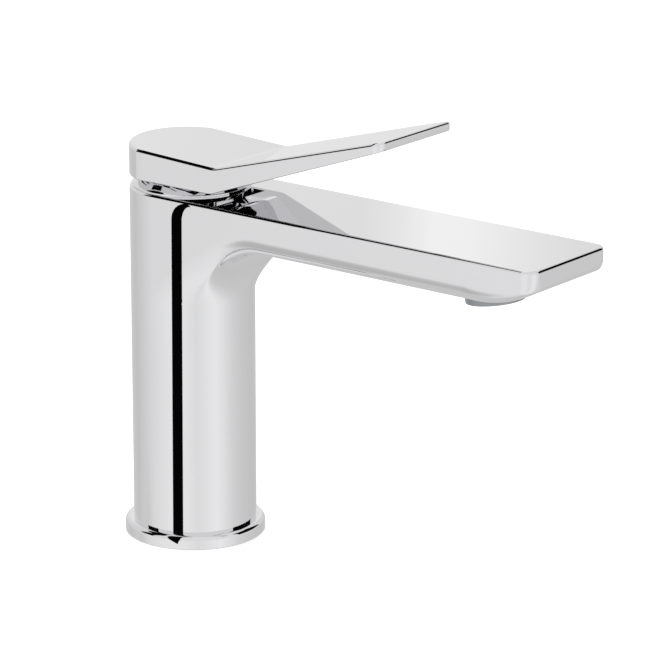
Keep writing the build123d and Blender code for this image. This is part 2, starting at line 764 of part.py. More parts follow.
# ---------------------------------------------------------------- aerator housing
with BuildPart() as aerator_housing:
    with BuildSketch(aer_plane.offset(-aerator_out)):
        Circle(aerator_r)
    extrude(amount=aerator_out + aerator_depth - washer_t)
    with BuildSketch(aer_plane.offset(aerator_lip - aerator_out)):
        Circle(aerator_r - aerator_wall)
    extrude(amount=aerator_out + aerator_depth, mode=Mode.SUBTRACT)
    with BuildSketch(aer_plane.offset(-aerator_out)):
        Circle(aerator_r - aerator_wall - aerator_lip)
    extrude(amount=aerator_lip, mode=Mode.SUBTRACT)
aerator_housing.part.label = "aerator_housing"
export_step(aerator_housing.part, "parts/aerator_housing.step")

# ---------------------------------------------------------------- aerator core
with BuildPart() as aerator_core:
    with BuildSketch(aer_plane.offset(aerator_lip - aerator_out)):
        Circle(aerator_r - aerator_wall - core_gap)
        Circle(core_hole_r, mode=Mode.SUBTRACT)
        with PolarLocations(core_ring_r, core_holes):
            Circle(core_hole_r, mode=Mode.SUBTRACT)
    extrude(amount=core_h)
aerator_core.part.label = "aerator_core"
export_step(aerator_core.part, "parts/aerator_core.step")

# ---------------------------------------------------------------- aerator screens
screen_z = aerator_lip - aerator_out + core_h
with BuildPart() as aerator_screens:
    for level in (0, 1):
        with BuildSketch(aer_plane.offset(screen_z + level * screen_pitch)):
            Circle(aerator_r - aerator_wall - core_gap)
            for ring, count in zip(screen_rings, screen_counts):
                with PolarLocations(ring, count):
                    Circle(screen_hole_r, mode=Mode.SUBTRACT)
        extrude(amount=screen_t)
aerator_screens.part.label = "aerator_screens"
export_step(aerator_screens.part, "parts/aerator_screens.step")

# ---------------------------------------------------------------- aerator washer
with BuildPart() as aerator_washer:
    with BuildSketch(aer_plane.offset(aerator_depth - washer_t)):
        Circle(aerator_r - seal_gap)
        Circle(chamber_r, mode=Mode.SUBTRACT)
    extrude(amount=washer_t)
aerator_washer.part.label = "aerator_washer"
export_step(aerator_washer.part, "parts/aerator_washer.step")
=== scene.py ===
"""Single-lever basin mixer: its visible pieces, finishes, studio and camera.

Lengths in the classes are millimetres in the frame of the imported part: origin on the
column axis at the deck plane, +X along the spout, +Z up, mirror plane y = 0.
"""

import json
import logging
import math
from dataclasses import dataclass
from enum import Enum

import bmesh
import bpy
from mathutils import Matrix, Vector
from mathutils.bvhtree import BVHTree
from mathutils.interpolate import poly_3d_calc

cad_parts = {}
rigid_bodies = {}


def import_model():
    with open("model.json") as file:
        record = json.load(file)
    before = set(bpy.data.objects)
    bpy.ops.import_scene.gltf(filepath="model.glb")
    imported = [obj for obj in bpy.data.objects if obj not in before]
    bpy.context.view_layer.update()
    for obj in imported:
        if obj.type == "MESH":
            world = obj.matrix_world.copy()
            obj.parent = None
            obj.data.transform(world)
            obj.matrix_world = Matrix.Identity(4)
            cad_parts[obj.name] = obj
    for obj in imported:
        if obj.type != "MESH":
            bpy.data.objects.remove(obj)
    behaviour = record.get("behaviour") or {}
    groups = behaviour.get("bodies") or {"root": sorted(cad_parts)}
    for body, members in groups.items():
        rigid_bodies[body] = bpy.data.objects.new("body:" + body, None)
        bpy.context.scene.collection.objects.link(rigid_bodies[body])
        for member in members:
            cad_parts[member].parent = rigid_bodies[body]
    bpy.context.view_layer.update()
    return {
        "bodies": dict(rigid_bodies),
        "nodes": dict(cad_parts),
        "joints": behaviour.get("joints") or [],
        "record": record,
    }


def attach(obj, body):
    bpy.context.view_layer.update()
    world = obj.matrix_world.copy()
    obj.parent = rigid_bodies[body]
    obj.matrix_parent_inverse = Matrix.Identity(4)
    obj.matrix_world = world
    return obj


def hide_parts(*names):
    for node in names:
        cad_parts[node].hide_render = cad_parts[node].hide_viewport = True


MM = 0.001
CLOUD_SHARE = 0.6
TONE_ENDS = (0.35, 0.65)
BUMP_DEPTH = 0.00005
LOG = logging.getLogger("basin_mixer")
Point = tuple[float, float, float]
Flat = tuple[float, float]


class Body(Enum):
    """Moving groups of the mixer."""

    FAUCET = "faucet"
    ROTOR = "rotor"
    LEVER = "lever"
    DISC = "disc"


# ------------------------------------------------------------------------------ mesh work
def circle(radius: float, steps: int) -> list[Flat]:
    """Points of a circle round the origin, from +X on."""
    turns = [2 * math.pi * i / steps for i in range(steps)]
    return [(radius * math.cos(turn), radius * math.sin(turn)) for turn in turns]


class Shell:
    """A mesh under construction from rings of points, in millimetres."""

    def __init__(self, name: str) -> None:
        """Starts an empty mesh.

        Args:
            name: Name of the piece.
        """
        self.name = name
        self.bm = bmesh.new()

    def ring(self, points: list[Point]) -> list[bmesh.types.BMVert]:
        """Adds points and returns their vertices.

        Args:
            points: Places in millimetres.

        Returns:
            The new vertices, in order.
        """
        return [self.bm.verts.new([c * MM for c in p]) for p in points]

    def face(self, verts: list[bmesh.types.BMVert]) -> None:
        """Adds one face unless two of its corners are one vertex.

        Args:
            verts: Corners in order.
        """
        if len(set(verts)) == len(verts) and len(verts) > 2:
            self.bm.faces.new(verts)

    def bridge(
        self,
        first: list[bmesh.types.BMVert],
        second: list[bmesh.types.BMVert],
        closed: bool = True,
    ) -> None:
        """Joins two rings of equal length with quads.

        Args:
            first: One ring.
            second: The other ring.
            closed: Whether the last point joins the first.
        """
        count = len(first)
        for i in range(count if closed else count - 1):
            j = (i + 1) % count
            self.face([first[i], first[j], second[j], second[i]])

    def lathe(self, profile: list[Flat], steps: int = 128) -> None:
        """Turns a closed profile about the Z axis.

        Args:
            profile: Points as radius and height, in order.
            steps: Segments round the axis.
        """
        rings = [self.ring([(x, y, z) for x, y in circle(r, steps)]) for r, z in profile]
        for first, second in zip(rings, rings[1:] + rings[:1]):
            self.bridge(first, second)

    def plug(self, radius: float, low: float, high: float, steps: int = 96) -> None:
        """Adds a closed upright cylinder on the Z axis.

        Args:
            radius: Its radius.
            low: Height of its bottom.
            high: Height of its top.
            steps: Segments round the axis.
        """
        flat = circle(radius, steps)
        bottom = self.ring([(x, y, low) for x, y in flat])
        top = self.ring([(x, y, high) for x, y in flat])
        self.bridge(bottom, top)
        self.face(bottom)
        self.face(top)

    def build(self, material: bpy.types.Material, place: Matrix | None = None) -> bpy.types.Object:
        """Cleans the mesh and makes the object.

        Args:
            material: Finish of every face.
            place: Optional transform of the mesh itself.

        Returns:
            The object, at the origin.
        """
        bmesh.ops.remove_doubles(self.bm, verts=self.bm.verts, dist=1e-7)
        bmesh.ops.dissolve_degenerate(self.bm, dist=1e-7, edges=self.bm.edges)
        bmesh.ops.recalc_face_normals(self.bm, faces=self.bm.faces)
        if place is not None:
            bmesh.ops.transform(self.bm, matrix=place, verts=self.bm.verts)
        mesh = bpy.data.meshes.new(self.name)
        self.bm.to_mesh(mesh)
        self.bm.free()
        mesh.materials.append(material)
        obj = bpy.data.objects.new(self.name, mesh)
        bpy.context.scene.collection.objects.link(obj)
        return obj


def cut(obj: bpy.types.Object, tool: bpy.types.Object) -> None:
    """Adds a cut by another object, which stays until the piece is settled.

    Args:
        obj: Piece to cut.
        tool: Closed solid to take away.
    """
    modifier = obj.modifiers.new("cut", "BOOLEAN")
    modifier.operation = "DIFFERENCE"
    modifier.solver = "EXACT"
    modifier.object = tool


def apply_modifiers(obj: bpy.types.Object) -> None:
    """Replaces a piece's mesh by what its modifiers make of it."""
    graph = bpy.context.evaluated_depsgraph_get()
    graph.update()
    mesh = bpy.data.meshes.new_from_object(obj.evaluated_get(graph))
    obj.modifiers.clear()
    obj.data = mesh


def settle(obj: bpy.types.Object, sharp_deg: float, *tools: bpy.types.Object) -> None:
    """Applies the modifiers, then shades the piece smooth between sharp edges.

    Args:
        obj: Piece to finish.
        sharp_deg: Edges turning more than this stay sharp.
        *tools: Cutting solids to remove afterwards.
    """
    if obj.modifiers:
        apply_modifiers(obj)
    for tool in tools:
        bpy.data.objects.remove(tool)
    obj.data.shade_smooth()
    obj.data.set_sharp_from_angle(angle=math.radians(sharp_deg))
    weighted = obj.modifiers.new("weighted", "WEIGHTED_NORMAL")
    weighted.keep_sharp = True
    weighted.weight = 100
    apply_modifiers(obj)
    obj.data.name = obj.name


def section(half: float, low: float, edge: float, arc: int, across: int) -> list[Flat]:
    """Lower outline of a spout section, from one side round both corners to the other.

    Args:
        half: Half the width.
        low: Distance of the flat from the reference line.
        edge: Rounding of both corners.
        arc: Steps in each corner.
        across: Steps in the flat.

    Returns:
        Points as y and distance.
    """
    flat = half - edge
    turns = [math.pi / 2 * i / arc for i in range(arc + 1)]
    side = [(flat + edge * math.cos(t), low + edge * (1 - math.sin(t))) for t in turns]
    middle = [(flat - 2 * flat * i / across, low) for i in range(1, across)]
    return side + middle + [(-y, d) for y, d in reversed(side)]


def front_corner(reach: float, half: float, corner: float, steps: int) -> list[tuple]:
    """Rounded front corner of an outline on its +Y side.

    Args:
        reach: Where the front lies.
        half: Half the width.
        corner: Radius of the corner.
        steps: Steps in it.

    Returns:
        Points as x, y and the outward normal.
    """
    points = []
    for i in range(steps + 1):
        turn = math.pi / 2 * (1 - i / steps)
        n = (math.cos(turn), math.sin(turn))
        points.append((reach - corner + corner * n[0], half - corner + corner * n[1], *n))
    return points


def bent_line(x: float, knee: Flat, before: float, after: float, radius: float) -> float:
    """Height of two straight lines that meet in a rounded corner, hollow side up.

    Args:
        x: Where to read the height.
        knee: Place of the sharp corner.
        before: Slope angle left of it, in radians.
        after: Slope angle right of it, in radians.
        radius: Rounding of the corner.

    Returns:
        The height at x.
    """
    length = radius * math.tan((after - before) / 2)
    start = knee[0] - length * math.cos(before)
    stop = knee[0] + length * math.cos(after)
    if x <= start:
        return knee[1] + (x - knee[0]) * math.tan(before)
    if x >= stop:
        return knee[1] + (x - knee[0]) * math.tan(after)
    centre_x = start - radius * math.sin(before)
    centre_z = knee[1] - length * math.sin(before) + radius * math.cos(before)
    return centre_z - math.sqrt(radius**2 - (x - centre_x) ** 2)


# -------------------------------------------------------------------------------- finishes
class NodeWork:
    """Adds nodes to a tree and joins them."""

    def __init__(self, tree: bpy.types.NodeTree) -> None:
        """Keeps the tree.

        Args:
            tree: Tree to add to.
        """
        self.tree = tree

    def add(self, kind: str, feeds: dict | None = None, **values: object) -> bpy.types.Node:
        """Adds a node, sets its properties and feeds its inputs.

        Args:
            kind: Node type.
            feeds: Input names or numbers, each with a socket to link or a value to set.
            **values: Property names and values.

        Returns:
            The node.
        """
        node = self.tree.nodes.new(kind)
        for key, value in values.items():
            setattr(node, key, value)
        self.feed(node, feeds or {})
        return node

    def feed(self, node: bpy.types.Node, feeds: dict) -> None:
        """Links or sets inputs of a node.

        Args:
            node: The node.
            feeds: Input names or numbers, each with a socket to link or a value to set.
        """
        for key, value in feeds.items():
            if isinstance(value, bpy.types.NodeSocket):
                self.tree.links.new(value, node.inputs[key])
            else:
                node.inputs[key].default_value = value

    def maths(self, operation: str, *feeds: object) -> bpy.types.NodeSocket:
        """Adds a math node fed by sockets or numbers and returns its output."""
        return self.add("ShaderNodeMath", dict(enumerate(feeds)), operation=operation).outputs[0]


def doors(tree: bpy.types.NodeTree, inputs: tuple, outputs: tuple) -> None:
    """Gives a node group its inputs and outputs.

    Args:
        tree: The group.
        inputs: Name, kind and standing value of each; no value is None.
        outputs: Name and kind of each.
    """
    for name, kind, value in inputs:
        door = tree.interface.new_socket(
            name=name, in_out="INPUT", socket_type="NodeSocket" + kind
        )
        if value is not None:
            door.default_value = value
    for name, kind in outputs:
        tree.interface.new_socket(name=name, in_out="OUTPUT", socket_type="NodeSocket" + kind)


def bare_material(name: str) -> tuple[bpy.types.Material, NodeWork]:
    """Makes a material without nodes and the hand that adds them."""
    made = bpy.data.materials.new(name)
    made.use_nodes = True
    made.node_tree.nodes.clear()
    return made, NodeWork(made.node_tree)


def surface_group() -> bpy.types.NodeTree:
    """Node group shared by the finishes: cloudy tone, fine marks and their height.

    Returns:
        The group, with outputs Tone, Gloss and Height.
    """
    group = bpy.data.node_groups.new("surface_marks", "ShaderNodeTree")
    sizes = (
        ("Cloud Scale", "Float", 20.0),
        ("Mark Scale", "Float", 400.0),
        ("Stretch", "Vector", (1.0, 1.0, 1.0)),
        ("Low", "Float", 0.03),
        ("High", "Float", 0.07),
    )
    doors(group, sizes, (("Tone", "Float"), ("Gloss", "Float"), ("Height", "Float")))
    work = NodeWork(group)
    take = work.add("NodeGroupInput").outputs
    place = work.add("ShaderNodeTexCoord").outputs["Object"]
    cloud = work.add(
        "ShaderNodeTexNoise", {"Detail": 3.0, "Vector": place, "Scale": take["Cloud Scale"]}
    )
    drawn = {0: place, 1: take["Stretch"]}
    stretch = work.add("ShaderNodeVectorMath", drawn, operation="MULTIPLY")
    marks = work.add(
        "ShaderNodeTexNoise",
        {
            "Detail": 6.0,
            "Roughness": 0.62,
            "Vector": stretch.outputs[0],
            "Scale": take["Mark Scale"],
        },
    )
    fine = work.maths("MULTIPLY", marks.outputs["Fac"], 1 - CLOUD_SHARE)
    tone = work.maths("MULTIPLY_ADD", cloud.outputs["Fac"], CLOUD_SHARE, fine)
    spread = work.add(
        "ShaderNodeMapRange",
        {
            "From Min": TONE_ENDS[0],
            "From Max": TONE_ENDS[1],
            "Value": tone,
            "To Min": take["Low"],
            "To Max": take["High"],
        },
    )
    gloss, height = spread.outputs["Result"], marks.outputs["Fac"]
    work.add("NodeGroupOutput", {"Tone": tone, "Gloss": gloss, "Height": height})
    return group


@dataclass(frozen=True)
class Finish:
    """One surface finish.

    Attributes:
        name: Material slot it stands for.
        tint: Linear colour.
        shade: Second colour of the cloudy tone.
        metallic: 1 for metal, 0 otherwise.
        gloss: Lowest and highest roughness.
        cloud: Scale of the cloudy tone, per metre.
        marks: Scale of the fine marks, per metre.
        stretch: How the fine marks are drawn out.
        relief: Strength of the bump.
        coat: Clear coat weight.
    """

    name: str
    tint: Point
    shade: Point
    metallic: float
    gloss: Flat
    cloud: float = 20.0
    marks: float = 500.0
    stretch: Point = (1.0, 1.0, 1.0)
    relief: float = 0.0
    coat: float = 0.0

    def material(self, group: bpy.types.NodeTree) -> bpy.types.Material:
        """Makes the material.

        Args:
            group: Shared group of marks.

        Returns:
            The material.
        """
        made = bpy.data.materials.new(self.name)
        made.use_nodes = True
        work = NodeWork(made.node_tree)
        shader = made.node_tree.nodes["Principled BSDF"]
        marks = work.add("ShaderNodeGroup", node_tree=group)
        sizes = {"Cloud Scale": self.cloud, "Mark Scale": self.marks, "Stretch": self.stretch}
        work.feed(marks, {**sizes, "Low": self.gloss[0], "High": self.gloss[1]})
        ramp = work.add("ShaderNodeValToRGB", {"Fac": marks.outputs["Tone"]})
        line = ramp.color_ramp.elements
        for point, position, colour in zip(line, TONE_ENDS, (self.shade, self.tint)):
            point.position = position
            point.color = (*colour, 1.0)
        feeds = {"Metallic": self.metallic, "Coat Weight": self.coat}
        feeds |= {"Base Color": ramp.outputs["Color"], "Roughness": marks.outputs["Gloss"]}
        if self.relief > 0:
            depth = {"Strength": self.relief, "Distance": BUMP_DEPTH}
            bump = work.add("ShaderNodeBump", {**depth, "Height": marks.outputs["Height"]})
            feeds["Normal"] = bump.outputs["Normal"]
        work.feed(shader, feeds)
        return made


FINISHES = (
    Finish("chrome_plate", (0.88, 0.88, 0.89), (0.86, 0.86, 0.875), 1.0, (0.015, 0.04), 18, 900),
    Finish("chrome_handle", (0.88, 0.88, 0.89), (0.86, 0.86, 0.875), 1.0, (0.015, 0.045),
           22, 1100),
    Finish("aerator_metal", (0.42, 0.43, 0.45), (0.34, 0.35, 0.37), 1.0, (0.18, 0.32),
           60, 1500, (1, 1, 6), 0.15),
    Finish("black_rubber", (0.035, 0.035, 0.036), (0.022, 0.022, 0.023), 0.0, (0.55, 0.75),
           80, 2500, (1, 1, 1), 0.35),
    Finish("white_plastic", (0.83, 0.83, 0.80), (0.78, 0.78, 0.75), 0.0, (0.36, 0.5),
           40, 1800, (1, 1, 1), 0.2),
    Finish("grey_plastic", (0.42, 0.43, 0.44), (0.37, 0.38, 0.39), 0.0, (0.36, 0.52),
           50, 1800, (1, 1, 1), 0.25),
    Finish("blue_plastic", (0.10, 0.20, 0.50), (0.08, 0.16, 0.43), 0.0, (0.34, 0.48),
           50, 1800, (1, 1, 1), 0.2),
    Finish("black_plastic", (0.05, 0.05, 0.052), (0.035, 0.035, 0.037), 0.0, (0.38, 0.55),
           60, 1800, (1, 1, 1), 0.25),
    Finish("white_ptfe", (0.88, 0.88, 0.86), (0.82, 0.82, 0.80), 0.0, (0.28, 0.4),
           40, 1200, (1, 1, 1), 0.1),
    Finish("white_ceramic", (0.90, 0.89, 0.86), (0.85, 0.84, 0.80), 0.0, (0.10, 0.2),
           60, 2200, (1, 1, 1), 0.05, 0.4),
    Finish("dark_ceramic", (0.30, 0.28, 0.27), (0.24, 0.225, 0.215), 0.0, (0.10, 0.2),
           60, 2200, (1, 1, 1), 0.05, 0.4),
    Finish("bright_steel", (0.60, 0.60, 0.61), (0.52, 0.52, 0.53), 1.0, (0.2, 0.34),
           80, 1600, (1, 1, 8), 0.15),
    Finish("dark_steel", (0.13, 0.13, 0.135), (0.09, 0.09, 0.095), 1.0, (0.32, 0.48),
           120, 2200, (1, 1, 1), 0.2),
    Finish("raw_brass", (0.72, 0.53, 0.25), (0.60, 0.42, 0.18), 1.0, (0.2, 0.36),
           60, 1500, (1, 1, 8), 0.2),
)


class FinishRack:
    """All materials of the mixer, by slot name."""

    def __init__(self) -> None:
        """Builds every finish once."""
        group = surface_group()
        self.made = {finish.name: finish.material(group) for finish in FINISHES}

    def __getitem__(self, name: str) -> bpy.types.Material:
        """Material of a slot."""
        return self.made[name]


def mount(obj: bpy.types.Object, body: Body, slot: str, *nodes: str) -> bpy.types.Object:
    """Makes a piece ride on a body and stand for CAD nodes.

    Args:
        obj: Finished piece.
        body: Body it rides on.
        slot: Material slot of the record; not used.
        *nodes: CAD nodes that it replaces.

    Returns:
        The piece.
    """
    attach(obj, body.value)
    if nodes:
        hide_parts(*nodes)
    LOG.info("%s: %d faces on %s", obj.name, len(obj.data.polygons), body.value)
    return obj


# ------------------------------------------------------------------------- column and spout
@dataclass
class SpoutBody:
    """Column and flat spout, cast in one piece."""

    radius: float = 23.0
    top: float = 134.0
    reach: float = 169.0
    depth: float = 16.0
    tip_rise: float = 8.6
    slope: float = 30.0
    edge: float = 8.0
    tip_edge: float = 3.0
    nose: float = 1.5
    corner: float = 5.0
    rim: float = 1.0
    bend: float = 24.0
    fade: float = 7.0
    ease: float = 1.6
    foot: float = 5.3
    spigot: float = 21.2
    well: float = 18.6
    well_top: float = 76.0
    upper_well: float = 17.9
    seat_low: float = 92.0
    seat: float = 98.0
    bore: float = 18.1
    nut_bore: float = 19.0
    nut_low: float = 127.0
    inlet_at: Flat = (3.982, 7.964)
    inlet_r: Flat = (6.9, 4.5)
    inlet_low: float = 84.0
    stud_x: float = -9.412
    stud_r: Flat = (6.4, 3.4)
    stud_low: float = 78.0
    boss_top: float = 92.4
    boss_edge: float = 0.4
    socket_r: float = 10.75
    socket_z: Flat = (-8.0, 5.6)
    arc: int = 28
    across: int = 12
    bend_steps: int = 64
    corner_steps: int = 20

    def tip_station(self, x: float) -> tuple[float, float, float]:
        """Half width, lower height and edge rounding of the spout at a place near its end.

        Args:
            x: Distance from the column axis.

        Returns:
            Half width, lower height and rounding.
        """
        share = max(0.0, (x - self.reach + self.slope) / self.slope)
        low = self.top - self.depth + self.tip_rise * share**2
        over = x - (self.reach - self.nose)
        if over > 0:
            low += self.nose - math.sqrt(max(0.0, self.nose**2 - over**2))
        inner = x - (self.reach - self.corner)
        half = self.radius
        if inner > 0:
            half += math.sqrt(max(0.0, self.corner**2 - inner**2)) - self.corner
        return half, low, self.edge + (self.tip_edge - self.edge) * share

    def plan(self) -> list[tuple[float, float, float, float]]:
        """Outline of the top on the +Y side, from the back to the front.

        Returns:
            Points as x, y and the outward normal.
        """
        points = []
        for i in range(2 * self.arc + 1):
            turn = math.pi - math.pi / 2 * i / (2 * self.arc)
            n = (math.cos(turn), math.sin(turn))
            points.append((self.radius * n[0], self.radius * n[1], *n))
        points += front_corner(self.reach, self.radius, self.corner, self.corner_steps)
        points.append((self.reach, 0.0, 1.0, 0.0))
        points[0] = (-self.radius, 0.0, -1.0, 0.0)
        return points

    def skin(self, shell: Shell) -> None:
        """Adds the outer skin with the rim and the top.

        Args:
            shell: Mesh to add to.
        """
        bend_x = self.radius + self.bend
        bend_z = self.top - self.depth - self.bend
        rail_z = self.top - self.rim
        rings = []
        round_front = section(self.radius, self.bend, self.radius, self.arc, self.across)
        for z in (self.foot, bend_z):
            rings.append(shell.ring([(bend_x - d, y, z) for y, d in round_front]))
        for i in range(1, self.bend_steps + 1):
            share = i / self.bend_steps
            turn = math.pi / 2 * share
            edge = self.edge + (self.radius - self.edge) * (1 - share**self.ease) ** self.fade
            outline = section(self.radius, self.bend, edge, self.arc, self.across)
            in_x, in_z = math.cos(turn), math.sin(turn)
            points = [(bend_x - d * in_x, y, bend_z + d * in_z) for y, d in outline]
            rings.append(shell.ring(points))
        stations = [bend_x + (self.reach - self.slope - bend_x) * i / 8 for i in range(1, 9)]
        stations += [
            self.reach - self.slope + (self.slope - self.corner) * i / 24 for i in range(1, 25)
        ]
        side_count = len(rings) + len(stations)
        stations += [
            self.reach - self.corner + self.corner * math.sin(math.pi / 2 * i / self.corner_steps)
            for i in range(1, self.corner_steps + 1)
        ]
        for x in stations:
            half, low, edge = self.tip_station(x)
            rings.append(
                shell.ring([(x, y, z) for y, z in section(half, low, edge, self.arc, self.across)])
            )
        for first, second in zip(rings, rings[1:]):
            shell.bridge(first, second, closed=False)
        plan = self.plan()
        loop = plan + [(x, -y, nx, -ny) for x, y, nx, ny in reversed(plan[1:-1])]
        rails = []
        for i in range(7):
            turn = math.pi / 2 * i / 6
            inset = self.rim * (1 - math.cos(turn))
            height = rail_z + self.rim * math.sin(turn)
            rails.append(
                shell.ring([(x - nx * inset, y - ny * inset, height) for x, y, nx, ny in loop])
            )
        for first, second in zip(rails, rails[1:]):
            shell.bridge(first, second)
        self.sides(shell, rings, rails[0], side_count)
        self.rear(shell, rings[0], rings[1], rails[0])
        self.lid(shell, rails[-1], len(plan))

    def sides(
        self,
        shell: Shell,
        rings: list[list[bmesh.types.BMVert]],
        rail: list[bmesh.types.BMVert],
        side_count: int,
    ) -> None:
        """Closes the flat sides, the front corners and the front face.

        Args:
            shell: Mesh to add to.
            rings: Sections from the foot to the front.
            rail: Lower edge of the rim, all the way round.
            side_count: Sections before the front corners begin.
        """
        count = len(rail)
        start = 2 * self.arc
        for end, sign in ((0, 1), (-1, -1)):
            at = [rail[(sign * (start + i)) % count] for i in range(self.corner_steps + 2)]
            lower = [ring[end] for ring in rings]
            shell.face(lower[1:side_count] + [at[1], at[0]])
            for i in range(self.corner_steps):
                first, second = lower[side_count - 1 + i], lower[side_count + i]
                shell.face([first, second, at[i + 2], at[i + 1]])
        middle = rail[start + self.corner_steps + 2]
        left = rail[start + self.corner_steps + 1]
        right = rail[-(start + self.corner_steps + 1)]
        shell.face(rings[-1] + [right, middle, left])

    def rear(
        self,
        shell: Shell,
        foot: list[bmesh.types.BMVert],
        shoulder: list[bmesh.types.BMVert],
        rail: list[bmesh.types.BMVert],
    ) -> None:
        """Adds the round back of the column, the foot and the well.

        Args:
            shell: Mesh to add to.
            foot: Front half of the lowest ring.
            shoulder: Front half of the ring where the bend begins.
            rail: Lower edge of the rim, all the way round.
        """
        steps = 4 * self.arc
        turns = [math.pi / 2 + math.pi * i / steps for i in range(1, steps)]
        flat = [(self.radius * math.cos(t), self.radius * math.sin(t)) for t in turns]
        low = [foot[0]] + shell.ring([(x, y, self.foot) for x, y in flat]) + [foot[-1]]
        bend_z = self.top - self.depth - self.bend
        middle = [shoulder[0]] + shell.ring([(x, y, bend_z) for x, y in flat]) + [shoulder[-1]]
        count = len(rail)
        high = [rail[(2 * self.arc - i) % count] for i in range(steps + 1)]
        shell.bridge(low, middle, closed=False)
        shell.bridge(middle, high, closed=False)
        outline = low[:-1] + list(reversed(foot))[:-1]
        inner = outline
        for radius, z in (
            (self.spigot, self.foot),
            (self.spigot, 0.0),
            (self.well, 0.0),
            (self.well, self.well_top),
            (self.upper_well, self.well_top),
            (self.upper_well, self.seat_low),
        ):
            scale = radius / self.radius / MM
            ring = shell.ring([(v.co.x * scale, v.co.y * scale, z) for v in outline])
            shell.bridge(inner, ring)
            inner = ring
        front = self.upper_well * MM * 0.99999
        shell.face([v for i, v in enumerate(inner) if v.co.x < front or i == 0])

    def lid(self, shell: Shell, edge: list[bmesh.types.BMVert], front: int) -> None:
        """Adds the flat top with the cartridge bore.

        Args:
            shell: Mesh to add to.
            edge: Inner edge of the rim, all the way round.
            front: Number of points on one side.
        """
        half = 48
        rings = []
        for radius, z in (
            (self.nut_bore, self.top),
            (self.nut_bore, self.nut_low),
            (self.bore, self.nut_low),
            (self.bore, self.seat),
        ):
            rings.append(shell.ring([(x, y, z) for x, y in circle(radius, 2 * half)]))
        for first, second in zip(rings, rings[1:]):
            shell.bridge(first, second)
        shell.face(rings[-1])
        mouth = rings[0]
        shell.face(edge[:front] + mouth[: half + 1])
        far = list(reversed(edge[front - 1 :])) + [mouth[0]] + list(reversed(mouth[half:]))
        shell.face([edge[0]] + far)

    def bosses(self, finish: bpy.types.Material) -> bpy.types.Object:
        """Threaded bosses inside the foot of the column.

        Args:
            finish: Material of the bosses.

        Returns:
            The bosses as one piece.
        """
        shell = Shell("inner_bosses")
        high, edge = self.boss_top, self.boss_edge
        for x, y, outer, inner, low in (
            (*self.inlet_at, *self.inlet_r, self.inlet_low),
            (self.inlet_at[0], -self.inlet_at[1], *self.inlet_r, self.inlet_low),
            (self.stud_x, 0.0, *self.stud_r, self.stud_low),
        ):
            start = len(shell.bm.verts)
            rows = [(outer, low + edge), (outer, high), (inner, high), (inner, low + edge)]
            shell.lathe(rows + [(inner + edge, low), (outer - edge, low)], 48)
            shell.bm.verts.ensure_lookup_table()
            bmesh.ops.translate(shell.bm, verts=shell.bm.verts[start:], vec=(x * MM, y * MM, 0))
        obj = shell.build(finish)
        settle(obj, 35)
        return obj

    def build(self, rack: FinishRack, aerator: Matrix) -> bpy.types.Object:
        """Builds the casting and mounts it.

        Args:
            rack: Finishes.
            aerator: Place of the aerator in the spout.

        Returns:
            The casting.
        """
        shell = Shell("column_and_spout")
        self.skin(shell)
        obj = shell.build(rack["chrome_plate"])
        socket = Shell("socket_tool")
        socket.plug(self.socket_r, *self.socket_z)
        tool = socket.build(rack["chrome_plate"], aerator)
        cut(obj, tool)
        settle(obj, 30, tool)
        mount(obj, Body.FAUCET, "chrome_plate", "body")
        mount(self.bosses(rack["raw_brass"]), Body.FAUCET, "raw_brass")
        return obj


# ------------------------------------------------------------------------------ round parts
@dataclass
class Rings:
    """Base ring and the cover ring under the handle."""

    flange: float = 26.2
    flange_edge: float = 1.9
    height: float = 5.3
    hole: float = 21.3
    groove: Flat = (22.45, 25.05)
    groove_top: float = 1.4
    foot_edge: float = 0.25
    cone: tuple[Flat, ...] = (
        (17.2, 133.0),
        (18.9, 133.0),
        (18.9, 134.0),
        (22.1, 134.0),
        (22.2, 134.1),
        (22.2, 134.6),
        (22.05, 134.82),
        (18.85, 137.05),
        (18.5, 137.2),
        (17.4, 137.2),
        (17.2, 137.0),
    )

    def base_ring(self, rack: FinishRack) -> None:
        """Builds the ring that stands on the deck."""
        edge = self.flange_edge
        rounding = [
            (
                self.flange - edge + edge * math.cos(math.pi / 2 * i / 12),
                self.height - edge + edge * math.sin(math.pi / 2 * i / 12),
            )
            for i in range(13)
        ]
        near, far = self.groove
        profile = [(self.hole, 0.0), (near, 0.0), (near, self.groove_top)]
        profile += [(far, self.groove_top), (far, 0.0)]
        profile += [(self.flange - self.foot_edge, 0.0), (self.flange, self.foot_edge)]
        profile += rounding + [(self.hole, self.height)]
        shell = Shell("deck_ring")
        shell.lathe(profile, 192)
        obj = shell.build(rack["chrome_plate"])
        settle(obj, 35)
        mount(obj, Body.FAUCET, "chrome_plate", "base_ring")

    def cover(self, rack: FinishRack) -> None:
        """Builds the conical ring that hides the cartridge nut."""
        shell = Shell("cover_cone")
        shell.lathe(list(self.cone), 192)
        obj = shell.build(rack["chrome_plate"])
        settle(obj, 25)
        mount(obj, Body.FAUCET, "chrome_plate", "cover_ring")

    def build(self, rack: FinishRack) -> None:
        """Builds both rings."""
        self.base_ring(rack)
        self.cover(rack)


